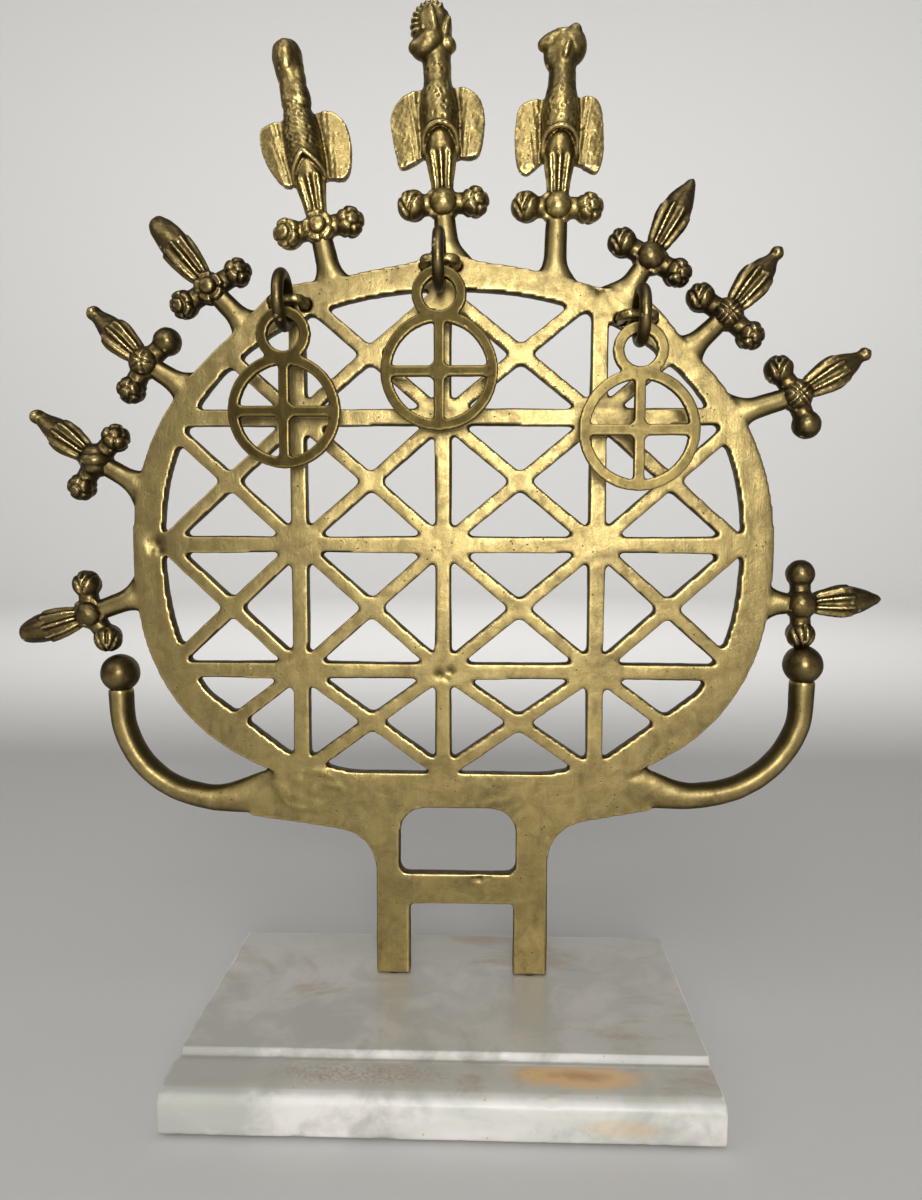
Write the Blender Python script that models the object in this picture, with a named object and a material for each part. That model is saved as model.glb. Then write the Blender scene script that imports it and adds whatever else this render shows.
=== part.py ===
"""Cast-brass openwork sun disc on a stepped onyx base, with hung wheel pendants.

The disc, its leg yoke, two horns and eleven finials are brass castings brazed together.
Three staples in the rim hold loose rings, and a wheel pendant hangs on each ring.
X runs across the disc, +Y goes to the back, +Z is up. Metres; the floor is at z = 0.
"""

import math
from dataclasses import dataclass

import bmesh
import bpy
from mathutils import Matrix, Vector

MM = 0.001
GAP = 0.3 * MM
WELD = 0.01 * MM

# Whole object: the middles of the base and of the disc, and the levels under the brass.
BASE_X = 2.25 * MM
DISC_X = BASE_X
FELT_T = 0.8 * MM
STONE_Z = FELT_T + GAP
STONE_T = 13.4 * MM
BASE_TOP = STONE_Z + STONE_T

# Onyx base: a flat field, a cove, and a rounded band along the front edge.
BASE_W = 160 * MM
BASE_D = 96 * MM
FIELD_D = 75.5 * MM
COVE_D = 79 * MM
COVE_DEPTH = 1.9 * MM
BAND_DROP = 0.4 * MM
NOSE_DROP = 1.9 * MM
FELT_INSET = 2.5 * MM

# Flat brass castings.
PLATE_T = 5 * MM
PLATE_FRONT = 18 * MM
PLATE_MID = PLATE_FRONT + PLATE_T / 2

# Sun disc: the height of its middle over the base, and its outer and inner outlines.
DISC_Z = BASE_TOP + 151.7 * MM
RIM_X = 109 * MM
RIM_TOP = 93.6 * MM
RIM_BOTTOM = 87 * MM
EYE_X = 98.5 * MM
EYE_TOP = 84.5 * MM
EYE_BOTTOM = 81.5 * MM
EYE_SILL = -79.2 * MM
OUTER_ROUND = (2.05, 2.62)
INNER_ROUND = (2.2, 2.45)
OUTLINE_STEPS = 120

# Where the rim swells outward for the staples: angle, height, and width in degrees.
SWELLS = ((124, 4.5 * MM, 7), (91, 3 * MM, 5), (51, 4.5 * MM, 7))

# Lattice: centre lines of its bars from the middle of the disc, then bar widths.
BAR_XS = (-51.5 * MM, -2.3 * MM, 49.8 * MM)
BAR_ZS = (-43.3 * MM, 0.1 * MM, 42.9 * MM)
BAR_W = 5.7 * MM
BRACE_W = 4.7 * MM
CORNER_CUT = 1.2 * MM
SMALLEST_OPENING = 12 * MM * MM
# The openings were filed by hand, so no two rows of edges line up: a tilt step in radians.
FILING = 0.004

# Leg yoke, from the base's top and from the middle of the disc.
LEG_X = 4.2 * MM
LEG_OUT = 30 * MM
LEG_IN = 18.2 * MM
CROSSBAR = (25.7 * MM, 36.5 * MM)
CROTCH_R = 14 * MM
WINDOW_X = 2.8 * MM
WINDOW_HALF = 20.3 * MM
WINDOW_TOP = 60 * MM
WINDOW_TOP_R = 8.5 * MM
WINDOW_LOW_R = 3.5 * MM
SHOULDER_X = 70 * MM
SHOULDER_LEFT = (56.8 * MM, 66.0 * MM)
SHOULDER_RIGHT = (60.0 * MM, 69.2 * MM)
YOKE_TOP_X = 60 * MM

# Screws that hold the feet from under the base.
SCREW_R = 1.3 * MM
SCREW_HOLE_R = 1.7 * MM
SCREW_HEAD_R = 2.7 * MM
SCREW_HEAD_T = 2.0 * MM
SCREW_IN_LEG = 9 * MM
WASHER_R = 4 * MM
WASHER_T = 0.8 * MM
COUNTERBORE_R = 4.6 * MM
COUNTERBORE_DEPTH = 6 * MM

# Horns, their knobs, and the tenons that join brass to brass.
HORN_R = 4.3 * MM
BALL_DETAIL = 2  # how finely every ball is faceted
KNOB_R = 7 * MM
KNOB_SOCKET = 2.6 * MM
TENON_R = 1.5 * MM
TENON_L = 3.5 * MM

# Finials: the ball at the foot, the blossoms beside it, and the stem to the rim.
BOSS_R = 5 * MM
BLOSSOM_R = 4.4 * MM
BLOSSOM_OFF = 10.5 * MM
STEM_R = 2.7 * MM
STEM_FLARE = 4.4 * MM
BUD_R = 4.9 * MM

# Loose parts: wire sizes, the ring, the staple and the pendant's eye.
RING_R = 10 * MM
RING_WIRE = 2 * MM
RING_STEPS = 22
STAPLE_WIRE = 1.8 * MM
STAPLE_HALF = 5 * MM
STAPLE_SINK = 2.5 * MM
STAPLE_Y = PLATE_FRONT - 6.7 * MM
RING_BACK = -3.7 * MM
RING_DOWN = -1.2 * MM
EYE_HOLE_R = 5.3 * MM
EYE_R = 8.9 * MM
EYE_SLACK = 0.5 * MM
PENDANT_T = 2.8 * MM
WHEEL_RIM = 3.6 * MM
SPOKE_W = 3.5 * MM

BRASS = (0.52, 0.40, 0.16, 1.0)
DARK_BRASS = (0.30, 0.22, 0.09, 1.0)
STONE = (0.80, 0.79, 0.74, 1.0)
FELT = (0.05, 0.12, 0.07, 1.0)
STEEL = (0.55, 0.55, 0.56, 1.0)


@dataclass(frozen=True)
class Bud:
    """One bud finial: the rim angle of its stem, its ball, and how bud and blossoms point."""

    name: str
    rim_angle: float
    boss: tuple
    lean: float
    length: float
    blossoms: tuple


@dataclass(frozen=True)
class Bird:
    """One bird finial: the rim angle of its stem, its ball, its lean, and its beak's turn."""

    name: str
    rim_angle: float
    boss: tuple
    lean: float
    height: float
    beak_turn: float
    wing_lift: float


@dataclass(frozen=True)
class Hanger:
    """One staple, ring and pendant: the staple's place and the pendant's wheel."""

    side: str
    staple: tuple
    wheel_r: float
    drop: float


# Places in millimetres from the middle of the disc (x) and the base's top (z).
BUDS = (
    Bud("bud_left_1", 133, (-80.4, 237.5), 130, 30, (30, 210)),
    Bud("bud_left_2", 149.5, (-103.4, 213.1), 136, 26, (43, 240)),
    Bud("bud_left_3", 169.3, (-121.6, 180.4), 143, 27, (47, 240)),
    Bud("bud_left_4", 189.4, (-125.2, 127.6), 197, 26.5, (96, 304)),
    Bud("bud_right_1", 55, (65.9, 246.4), 61, 29, (151, 332)),
    Bud("bud_right_2", 39.2, (91.7, 228.1), 51, 28, (148, 318)),
    Bud("bud_right_3", 24.6, (115.3, 201.7), 31, 28.5, (126, 291)),
    Bud("bud_right_4", 349.9, (119.0, 131.9), 4, 27.3, (92, 272)),
)
BIRDS = (
    Bird("bird_left", 114.3, (-43.6, 256.9), 10.4, 61.5, 0, 3.2),
    Bird("bird_middle", 90.6, (-2.3, 264.3), 2.7, 62.5, -35, 0.5),
    Bird("bird_right", 68.8, (35.3, 262.8), -1.7, 57.5, -80, 1.0),
)
HANGERS = (
    Hanger("left", (-53.3, 231.6), 18.4, 27.2),
    Hanger("middle", (-3.0, 244.0), 19.0, 27.0),
    Hanger("right", (61.4, 226.2), 19.5, 28.0),
)

# A bird's turned body from its ball up, its head from the crown down, and its beak:
# (radius, height) in millimetres.
BIRD_BODY = ((3.2, 2), (4.6, 8), (5.6, 18), (6.4, 27), (6.0, 36), (4.6, 43))
BIRD_HEAD = ((5.2, 13), (6.2, 7), (4.8, 2.2), (1.6, 0))
BEAK = ((3, 0), (2.6, 6), (0.8, 10.5))

# A bird's wing, in millimetres from its ball: outline, corner radii, and front and back.
WING = ((3, 13), (15.5, 12.5), (17.5, 33), (9, 37), (3, 31))
WING_RADII = (0, 5, 5, 4, 0)
WING_Y = (0.3 * MM, 3.1 * MM)

# Centre lines of the horns' rods, from the shoulders up to the knobs.
HORN_LEFT = ((-70.3, 61.4), (-84, 62.3), (-98, 66.8), (-108.7, 76), (-114.5, 88), (-115.6, 101.4))
HORN_RIGHT = ((70.3, 64.6), (84, 64.6), (99, 68.2), (111.4, 76.8), (119.2, 89.5), (120.6, 105.8))


def clear_scene():
    """Take out whatever the scene holds."""
    for obj in list(bpy.data.objects):
        bpy.data.objects.remove(obj, do_unlink=True)


def finish(name, colour, roughness, metallic):
    """A plain material of one colour."""
    material = bpy.data.materials.new(name)
    material.use_nodes = True
    shader = material.node_tree.nodes["Principled BSDF"]
    shader.inputs["Base Color"].default_value = colour
    shader.inputs["Roughness"].default_value = roughness
    shader.inputs["Metallic"].default_value = metallic
    return material


def add_object(name, mesh, place=(0, 0, 0)):
    """A new object of this mesh, in the scene."""
    obj = bpy.data.objects.new(name, mesh)
    obj.location = place
    bpy.context.scene.collection.objects.link(obj)
    return obj


def mesh_of(bm, name):
    """A mesh from the bmesh, with its faces pointing out, and the bmesh freed."""
    bmesh.ops.recalc_face_normals(bm, faces=bm.faces)
    mesh = bpy.data.meshes.new(name)
    bm.to_mesh(mesh)
    bm.free()
    return mesh


def prism(outline, low, high, axis="Y"):
    """A bmesh prism: the outline (x, z) run along Y, or (y, z) run along X, or (x, y) up Z."""
    bm = bmesh.new()
    ends = []
    for along in (low, high):
        ring = []
        for a, b in outline:
            point = {"Y": (a, along, b), "X": (along, a, b), "Z": (a, b, along)}[axis]
            ring.append(bm.verts.new(point))
        ends.append(ring)
    count = len(outline)
    bm.faces.new(ends[0])
    bm.faces.new(list(reversed(ends[1])))
    for i in range(count):
        j = (i + 1) % count
        bm.faces.new((ends[0][i], ends[1][i], ends[1][j], ends[0][j]))
    return bm


def turned(profile, sides, matrix):
    """A bmesh solid of revolution: the profile's (radius, height) turned about local Z."""
    bm = bmesh.new()
    rows = []
    for radius, height in profile:
        if radius < 1e-7:
            rows.append([bm.verts.new(matrix @ Vector((0, 0, height)))])
            continue
        row = []
        for k in range(sides):
            turn = 2 * math.pi * k / sides
            point = Vector((radius * math.cos(turn), radius * math.sin(turn), height))
            row.append(bm.verts.new(matrix @ point))
        rows.append(row)
    for low, high in zip(rows, rows[1:]):
        for k in range(sides):
            j = (k + 1) % sides
            ring = [low[k % len(low)], low[j % len(low)], high[j % len(high)], high[k % len(high)]]
            bm.faces.new(list(dict.fromkeys(ring)))
    for row in (rows[0], rows[-1]):
        if len(row) > 1:
            bm.faces.new(row)
    return bm


def ball(centre, radius):
    """A bmesh ball made of triangles."""
    bm = bmesh.new()
    place = Matrix.Translation(centre)
    bmesh.ops.create_icosphere(bm, subdivisions=BALL_DETAIL, radius=radius, matrix=place)
    return bm


def swept(path, radii, sides, closed=False):
    """A bmesh tube along points in one plane, with the radius given at each point."""
    bm = bmesh.new()
    rows = []
    count = len(path)
    normal = (path[1] - path[0]).cross(path[count // 2] - path[0]).normalized()
    for i, point in enumerate(path):
        before = path[i - 1] if i or closed else point
        after = path[(i + 1) % count] if i + 1 < count or closed else point
        along = (after - before).normalized()
        side = along.cross(normal)
        row = []
        for k in range(sides):
            turn = 2 * math.pi * k / sides
            off = side * math.cos(turn) + normal * math.sin(turn)
            row.append(bm.verts.new(point + off * radii[i]))
        rows.append(row)
    pairs = list(zip(rows, rows[1:]))
    if closed:
        pairs.append((rows[-1], rows[0]))
    for low, high in pairs:
        for k in range(sides):
            j = (k + 1) % sides
            bm.faces.new((low[k], low[j], high[j], high[k]))
    if not closed:
        bm.faces.new(rows[0])
        bm.faces.new(rows[-1])
    return bm


def combine(name, solids, cuts=(), solver="EXACT"):
    """One mesh: the bmesh solids joined by unions, less the cuts."""
    helpers = [add_object(f"{name}_part", mesh_of(bm, name)) for bm in solids]
    cutters = [add_object(f"{name}_cut", mesh_of(bm, name)) for bm in cuts]
    whole = helpers[0]
    for other, operation in [(h, "UNION") for h in helpers[1:]] + [(c, "DIFFERENCE") for c in cutters]:
        boolean = whole.modifiers.new("join", "BOOLEAN")
        boolean.object = other
        boolean.operation = operation
        boolean.solver = solver
    bpy.context.view_layer.update()
    graph = bpy.context.evaluated_depsgraph_get()
    mesh = bpy.data.meshes.new_from_object(whole.evaluated_get(graph))
    mesh.name = name
    for helper in helpers + cutters:
        bpy.data.objects.remove(helper, do_unlink=True)
    return mesh


def piece(name, mesh, material, pivot=(0, 0, 0)):
    """A finished sub-part, with its origin moved to the pivot and its round faces smooth."""
    mesh.transform(Matrix.Translation(-Vector(pivot)))
    mesh.materials.clear()
    mesh.materials.append(material)
    mesh.shade_smooth()
    mesh.set_sharp_from_angle(angle=math.radians(35))
    return add_object(name, mesh, pivot)


def rounded_path(corners, radii, steps=4):
    """A closed outline whose corners are arcs of the given radii, in the corners' plane."""
    points = []
    count = len(corners)
    for i, corner in enumerate(corners):
        here = Vector(corner)
        back = (Vector(corners[i - 1]) - here).normalized()
        ahead = (Vector(corners[(i + 1) % count]) - here).normalized()
        if radii[i] <= 0:
            points.append((here.x, here.y))
            continue
        half = back.angle(ahead) / 2
        reach = radii[i] / math.tan(half)
        centre = here + (back + ahead).normalized() * (radii[i] / math.sin(half))
        start = here + back * reach - centre
        sweep = start.angle_signed(here + ahead * reach - centre)
        for k in range(steps + 1):
            turned_by = Matrix.Rotation(-sweep * k / steps, 2)
            spot = centre + turned_by @ start
            points.append((spot.x, spot.y))
    return points


def oval_reach(angle, half_w, top, bottom, rounds):
    """How far an outline squarer than an ellipse lies from its middle, at this angle."""
    c, s = math.cos(angle), math.sin(angle)
    height, power = (top, rounds[0]) if s >= 0 else (bottom, rounds[1])
    return (abs(c / half_w) ** power + abs(s / height) ** power) ** (-1 / power)


def rim_point(degrees, extra=0.0):
    """(x, z) on the disc's outer edge, from its middle, at this angle, moved out by extra."""
    reach = oval_reach(math.radians(degrees), RIM_X, RIM_TOP, RIM_BOTTOM, OUTER_ROUND) + extra
    for middle, height, width in SWELLS:
        away = (degrees - middle + 180) % 360 - 180
        reach += height * math.exp(-((away / width) ** 2))
    return reach * math.cos(math.radians(degrees)), reach * math.sin(math.radians(degrees))


def rim_outline(extra=0.0):
    """The disc's closed outer outline, moved out by extra."""
    return [rim_point(360 * k / OUTLINE_STEPS, extra) for k in range(OUTLINE_STEPS)]


def opening_outline():
    """The closed inner outline of the rim, flat along its sill."""
    points = []
    for k in range(OUTLINE_STEPS):
        angle = 2 * math.pi * k / OUTLINE_STEPS
        reach = oval_reach(angle, EYE_X, EYE_TOP, EYE_BOTTOM, INNER_ROUND)
        points.append((reach * math.cos(angle), max(reach * math.sin(angle), EYE_SILL)))
    return points


def clip(polygon, normal, offset):
    """The part of a convex polygon where normal . point <= offset."""
    kept = []
    for (ax, az), (bx, bz) in zip(polygon, polygon[1:] + polygon[:1]):
        a = normal[0] * ax + normal[1] * az - offset
        b = normal[0] * bx + normal[1] * bz - offset
        if a <= 0:
            kept.append((ax, az))
        if a * b < 0:
            t = a / (a - b)
            kept.append((ax + t * (bx - ax), az + t * (bz - az)))
    return kept


def area_of(polygon):
    """Area inside a polygon that runs anticlockwise."""
    pairs = zip(polygon, polygon[1:] + polygon[:1])
    return sum(ax * bz - bx * az for (ax, az), (bx, bz) in pairs) / 2


def blunt(polygon, cut):
    """The polygon with each sharp corner cut across, and its smallest edges dropped."""
    points = []
    for i, here in enumerate(polygon):
        if (Vector(here) - Vector(polygon[i - 1])).length > 0.3 * MM:
            points.append(here)
    result = []
    count = len(points)
    for i, here in enumerate(points):
        back = Vector(points[i - 1]) - Vector(here)
        ahead = Vector(points[(i + 1) % count]) - Vector(here)
        if math.degrees(back.angle(ahead)) > 150:
            result.append(here)
            continue
        for way in (back, ahead):
            spot = Vector(here) + way.normalized() * min(cut, way.length * 0.3)
            result.append((spot.x, spot.y))
    return result


def lattice_openings():
    """The disc's openings: four triangles in each cell, clipped by the rim's inner outline."""
    inner = opening_outline()
    xs = (-EYE_X, *BAR_XS, EYE_X)
    zs = (EYE_SILL, *BAR_ZS, EYE_TOP)
    openings = []
    for column, (left, right) in enumerate(zip(xs, xs[1:])):
        for row, (low, high) in enumerate(zip(zs, zs[1:])):
            width, height = right - left, high - low
            middle = Vector(((left + right) / 2, (low + high) / 2))
            braces = (Vector((-height, width)).normalized(), Vector((height, width)).normalized())
            filed = Matrix.Rotation(FILING * ((3 * column + 5 * row) % 7 - 3), 2)
            walls = (
                (Vector((-1, 0)), left == -EYE_X),
                (Vector((1, 0)), right == EYE_X),
                (Vector((0, -1)), low == EYE_SILL),
                (Vector((0, 1)), high == EYE_TOP),
            )
            for way, at_rim in walls:
                shape = list(inner)
                if not at_rim:
                    on_wall = middle + Vector((way.x * width, way.y * height)) / 2
                    face = filed @ way
                    shape = clip(shape, face, face.dot(on_wall) - BAR_W / 2)
                for brace in braces:
                    inward = -brace if brace.dot(way) > 0 else brace
                    shape = clip(shape, inward, inward.dot(middle) - BRACE_W / 2)
                if len(shape) > 2 and area_of(shape) > SMALLEST_OPENING:
                    openings.append(blunt(shape, CORNER_CUT))
    return openings


def flat_casting(outlines, thickness, front, middle):
    """A bmesh plate with holes: a filled flat curve run through its thickness, facing -Y."""
    curve = bpy.data.curves.new("plate", "CURVE")
    curve.dimensions = "2D"
    curve.fill_mode = "BOTH"
    curve.extrude = thickness / 2
    for outline in outlines:
        spline = curve.splines.new("POLY")
        spline.points.add(len(outline) - 1)
        for point, (x, z) in zip(spline.points, outline):
            point.co = (x, z, 0, 1)
        spline.use_cyclic_u = True
    helper = add_object("plate", curve)
    bpy.context.view_layer.update()
    graph = bpy.context.evaluated_depsgraph_get()
    mesh = bpy.data.meshes.new_from_object(helper.evaluated_get(graph))
    bpy.data.objects.remove(helper, do_unlink=True)
    bm = bmesh.new()
    bm.from_mesh(mesh)
    bmesh.ops.remove_doubles(bm, verts=bm.verts, dist=WELD)
    upright = Matrix.Translation((middle[0], front + thickness / 2, middle[1]))
    upright @= Matrix.Rotation(math.pi / 2, 4, "X")
    bmesh.ops.transform(bm, matrix=upright, verts=bm.verts)
    bmesh.ops.recalc_face_normals(bm, faces=bm.faces)
    return bm


def peg(start, end, radius, sides=10):
    """A bmesh cylinder from start to end."""
    along = end - start
    turn = along.to_track_quat("Z", "Y").to_matrix().to_4x4()
    profile = ((radius, 0), (radius, along.length))
    return turned(profile, sides, Matrix.Translation(start) @ turn)


def rim_place(degrees):
    """A point on the disc's outer edge, in the middle of its thickness."""
    x, z = rim_point(degrees)
    return Vector((DISC_X + x, PLATE_MID, DISC_Z + z))


def disc_place(x, z, y=PLATE_MID):
    """A point from millimetres across from the disc's middle and above the base's top."""
    return Vector((DISC_X + x * MM, y, BASE_TOP + z * MM))


def foot_and_way(finial):
    """Where a finial's stem meets the rim, and the direction from there to its ball."""
    foot = rim_place(finial.rim_angle)
    return foot, (disc_place(*finial.boss) - foot).normalized()


def leg_places():
    """The middles of the two feet, on the base's top."""
    half = (LEG_OUT + LEG_IN) / 2
    return [Vector((DISC_X + LEG_X + side * half, PLATE_MID, BASE_TOP)) for side in (-1, 1)]


def make_base(stone, felt):
    """The stepped stone with its two counterbored holes, and the felt under it."""
    back = BASE_D / 2
    top = BASE_TOP
    cove_low = top - COVE_DEPTH
    profile = [(back, STONE_Z), (back, top), (back - FIELD_D, top)]
    profile += [(back - FIELD_D - 0.6 * MM, cove_low), (back - COVE_D + 0.6 * MM, cove_low)]
    band = BASE_D - COVE_D
    for k in range(7):
        along = k / 6
        drop = BAND_DROP + (COVE_DEPTH - BAND_DROP - 0.4 * MM) * (2 * abs(along - 0.45)) ** 3
        profile.append((back - COVE_D - band * 0.94 * along, top - drop))
    profile += [(-back, top - NOSE_DROP - 1.6 * MM), (-back, STONE_Z)]
    slab = prism(profile, BASE_X - BASE_W / 2, BASE_X + BASE_W / 2, "X")
    cuts = []
    for foot in leg_places():
        floor = Vector((foot.x, foot.y, 0))
        cuts.append(peg(floor, foot + Vector((0, 0, MM)), SCREW_HOLE_R, 12))
        ceiling = floor + Vector((0, 0, STONE_Z + COUNTERBORE_DEPTH))
        cuts.append(peg(floor, ceiling, COUNTERBORE_R, 20))
    piece("onyx_base", combine("onyx_base", [slab], cuts), stone)
    half_w, half_d = BASE_W / 2 - FELT_INSET, BASE_D / 2 - FELT_INSET
    corners = [(BASE_X + sx * half_w, sy * half_d) for sx, sy in ((-1, -1), (1, -1), (1, 1), (-1, 1))]
    sheet = prism(rounded_path(corners, [4 * MM] * 4), 0, FELT_T, "Z")
    piece("base_felt", mesh_of(sheet, "base_felt"), felt)


def make_screws(steel):
    """A screw and a washer under each foot."""
    for side, foot in zip(("left", "right"), leg_places()):
        washer_top = STONE_Z + COUNTERBORE_DEPTH - GAP
        washer_low = washer_top - WASHER_T
        place = Matrix.Translation((foot.x, foot.y, 0))
        ring = ((SCREW_HOLE_R, washer_top), (WASHER_R, washer_top), (WASHER_R, washer_low))
        ring += ((SCREW_HOLE_R, washer_low), (SCREW_HOLE_R, washer_top))
        bm = turned(ring, 20, place)
        bmesh.ops.delete(bm, geom=[f for f in bm.faces if len(f.verts) > 4], context="FACES_ONLY")
        bmesh.ops.remove_doubles(bm, verts=bm.verts, dist=WELD)
        piece(f"washer_{side}", mesh_of(bm, "washer"), steel)
        head_top = washer_low - GAP
        tip = BASE_TOP + GAP + SCREW_IN_LEG
        profile = (
            (0, head_top - SCREW_HEAD_T),
            (SCREW_HEAD_R * 0.8, head_top - SCREW_HEAD_T),
            (SCREW_HEAD_R, head_top - SCREW_HEAD_T * 0.7),
            (SCREW_HEAD_R, head_top),
            (SCREW_R, head_top),
            (SCREW_R, tip - SCREW_R),
            (0, tip),
        )
        piece(f"foot_screw_{side}", mesh_of(turned(profile, 12, place), "foot_screw"), steel)


def make_disc(brass):
    """The rim and its lattice, drilled for the finials' tenons and the staples' legs."""
    plate = flat_casting([rim_outline(), *lattice_openings()], PLATE_T, PLATE_FRONT, (DISC_X, DISC_Z))
    cuts = []
    for finial in BUDS + BIRDS:
        foot, way = foot_and_way(finial)
        cuts.append(peg(foot - way * (TENON_L + GAP), foot + way * 4 * MM, TENON_R + GAP))
    for hanger in HANGERS:
        for side in (-1, 1):
            leg = staple_place(hanger) + Vector((side * STAPLE_HALF, 0, 0))
            end = Vector((leg.x, PLATE_FRONT + STAPLE_SINK + GAP, leg.z))
            cuts.append(peg(leg, end, STAPLE_WIRE + GAP))
    # The exact solver leaves slits along this plate's level edges, so it isn't used here.
    piece("sun_disc", combine("sun_disc", [plate], cuts, "MANIFOLD"), brass)


def make_yoke(brass):
    """The two feet, their crossbar and window, and the shoulders under the rim."""
    left, right = DISC_X + LEG_X - LEG_OUT, DISC_X + LEG_X + LEG_OUT
    in_left, in_right = DISC_X + LEG_X - LEG_IN, DISC_X + LEG_X + LEG_IN
    bottom = BASE_TOP + GAP
    rim = [(DISC_X + x, DISC_Z + z) for x, z in rim_outline(GAP) if z < 0 and abs(x) < YOKE_TOP_X]
    low_l, top_l = (BASE_TOP + level for level in SHOULDER_LEFT)
    low_r, top_r = (BASE_TOP + level for level in SHOULDER_RIGHT)
    corners = [
        (left, bottom, 0),
        (in_left, bottom, 0),
        (in_left, BASE_TOP + CROSSBAR[0], MM),
        (in_right, BASE_TOP + CROSSBAR[0], MM),
        (in_right, bottom, 0),
        (right, bottom, 0),
        (right, low_r - 6.5 * MM, CROTCH_R),
        (DISC_X + SHOULDER_X, low_r, 0),
        (DISC_X + SHOULDER_X, top_r, 0),
    ]
    corners += [(x, z, 0) for x, z in reversed(rim)]
    corners += [
        (DISC_X - SHOULDER_X, top_l, 0),
        (DISC_X - SHOULDER_X, low_l, 0),
        (left, low_l - 6.5 * MM, CROTCH_R),
    ]
    outline = rounded_path([c[:2] for c in corners], [c[2] for c in corners])
    x0, x1 = (DISC_X + WINDOW_X + side * WINDOW_HALF for side in (-1, 1))
    z0, z1 = BASE_TOP + CROSSBAR[1], BASE_TOP + WINDOW_TOP
    radii = (WINDOW_LOW_R, WINDOW_LOW_R, WINDOW_TOP_R, WINDOW_TOP_R)
    window = rounded_path([(x0, z0), (x1, z0), (x1, z1), (x0, z1)], radii)
    plate = flat_casting([outline, window], PLATE_T, PLATE_FRONT, (0, 0))
    cuts = []
    for foot in leg_places():
        top = foot + Vector((0, 0, GAP + SCREW_IN_LEG + GAP))
        cuts.append(peg(foot - Vector((0, 0, MM)), top, SCREW_HOLE_R, 12))
    for path in (HORN_LEFT, HORN_RIGHT):
        start = disc_place(*path[0])
        inward = Vector((-math.copysign(1, path[0][0]), 0, 0))
        cuts.append(peg(start - inward * MM, start + inward * (TENON_L + 2 * GAP), TENON_R + GAP))
    piece("leg_yoke", combine("leg_yoke", [plate], cuts), brass)


def make_horns(brass):
    """The two curved rods beside the disc, each with a tenon, and a knob on its end."""
    for side, path in (("left", HORN_LEFT), ("right", HORN_RIGHT)):
        curve = bpy.data.curves.new("horn", "CURVE")
        curve.dimensions = "3D"
        curve.bevel_depth = HORN_R
        curve.bevel_resolution = 2
        curve.resolution_u = 3
        curve.use_fill_caps = True
        spline = curve.splines.new("BEZIER")
        spline.bezier_points.add(len(path) - 1)
        for point, place in zip(spline.bezier_points, path):
            point.co = disc_place(*place)
            point.handle_left_type = point.handle_right_type = "AUTO"
        start, inward = disc_place(*path[0]), Vector((-math.copysign(1, path[0][0]), 0, 0))
        first = spline.bezier_points[0]
        first.handle_left_type = first.handle_right_type = "FREE"
        first.handle_left = start + inward * 5 * MM
        first.handle_right = start - inward * 5 * MM
        last = spline.bezier_points[-1]
        last.handle_left_type = last.handle_right_type = "FREE"
        last.handle_left = last.co - Vector((0, 0, 5 * MM))
        last.handle_right = last.co + Vector((0, 0, 5 * MM))
        helper = add_object("horn", curve)
        bpy.context.view_layer.update()
        graph = bpy.context.evaluated_depsgraph_get()
        rod = bmesh.new()
        rod.from_mesh(bpy.data.meshes.new_from_object(helper.evaluated_get(graph)))
        bmesh.ops.remove_doubles(rod, verts=rod.verts, dist=WELD)
        bpy.data.objects.remove(helper, do_unlink=True)
        tenon = peg(start - inward * 2 * MM, start + inward * TENON_L, TENON_R)
        piece(f"horn_{side}", combine("horn", [rod, tenon]), brass)
        end = disc_place(*path[-1])
        way = Vector((0, 0, 1))
        centre = end + way * (KNOB_R - KNOB_SOCKET)
        socket = peg(end - way * 8 * MM, end + way * GAP, HORN_R + GAP, 12)
        piece(f"horn_knob_{side}", combine("horn_knob", [ball(centre, KNOB_R)], [socket]), brass)


def finial_foot(finial):
    """The bmesh solids that every finial starts with: cut stem, tenon, ball and blossoms."""
    foot, way = foot_and_way(finial)
    boss = disc_place(*finial.boss)
    turn = way.to_track_quat("Z", "Y").to_matrix().to_4x4()
    reach = (boss - foot).length
    profile = (
        (STEM_FLARE, -2 * MM),
        (STEM_FLARE * 0.85, 1.2 * MM),
        (STEM_R, 3.2 * MM),
        (STEM_R, reach),
    )
    stem = turned(profile, 8, Matrix.Translation(foot) @ turn)
    rim = [(DISC_X + x, DISC_Z + z) for x, z in rim_outline(GAP)]
    cutter = prism(rim, PLATE_MID - 10 * MM, PLATE_MID + 10 * MM)
    cut_stem = bmesh.new()
    cut_stem.from_mesh(combine("stem", [stem], [cutter]))
    tenon = peg(foot - way * TENON_L, foot + way * 2 * MM, TENON_R, 8)
    return [cut_stem, tenon, ball(boss, BOSS_R)]


def make_buds(brass):
    """The eight bud finials: a ball with two blossoms, and a tapering bud."""
    for bud in BUDS:
        solids = finial_foot(bud)
        boss = disc_place(*bud.boss)
        for degrees in bud.blossoms:
            turn = math.radians(degrees)
            off = Vector((math.cos(turn), 0, math.sin(turn))) * BLOSSOM_OFF
            solids.append(ball(boss + off * 0.98, BLOSSOM_R))
            solids.append(peg(boss, boss + off, STEM_R * 0.9, 8))
        turn = math.radians(bud.lean)
        way = Vector((math.cos(turn), 0, math.sin(turn)))
        length = bud.length * MM
        profile = (
            (BUD_R * 0.5, 2 * MM),
            (BUD_R * 0.85, length * 0.28),
            (BUD_R, length * 0.5),
            (BUD_R * 0.8, length * 0.68),
            (BUD_R * 0.5, length * 0.84),
            (BUD_R * 0.2, length),
        )
        frame = Matrix.Translation(boss) @ way.to_track_quat("Z", "Y").to_matrix().to_4x4()
        solids.append(turned(profile, 8, frame))
        piece(bud.name, combine(bud.name, solids), brass)


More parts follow.
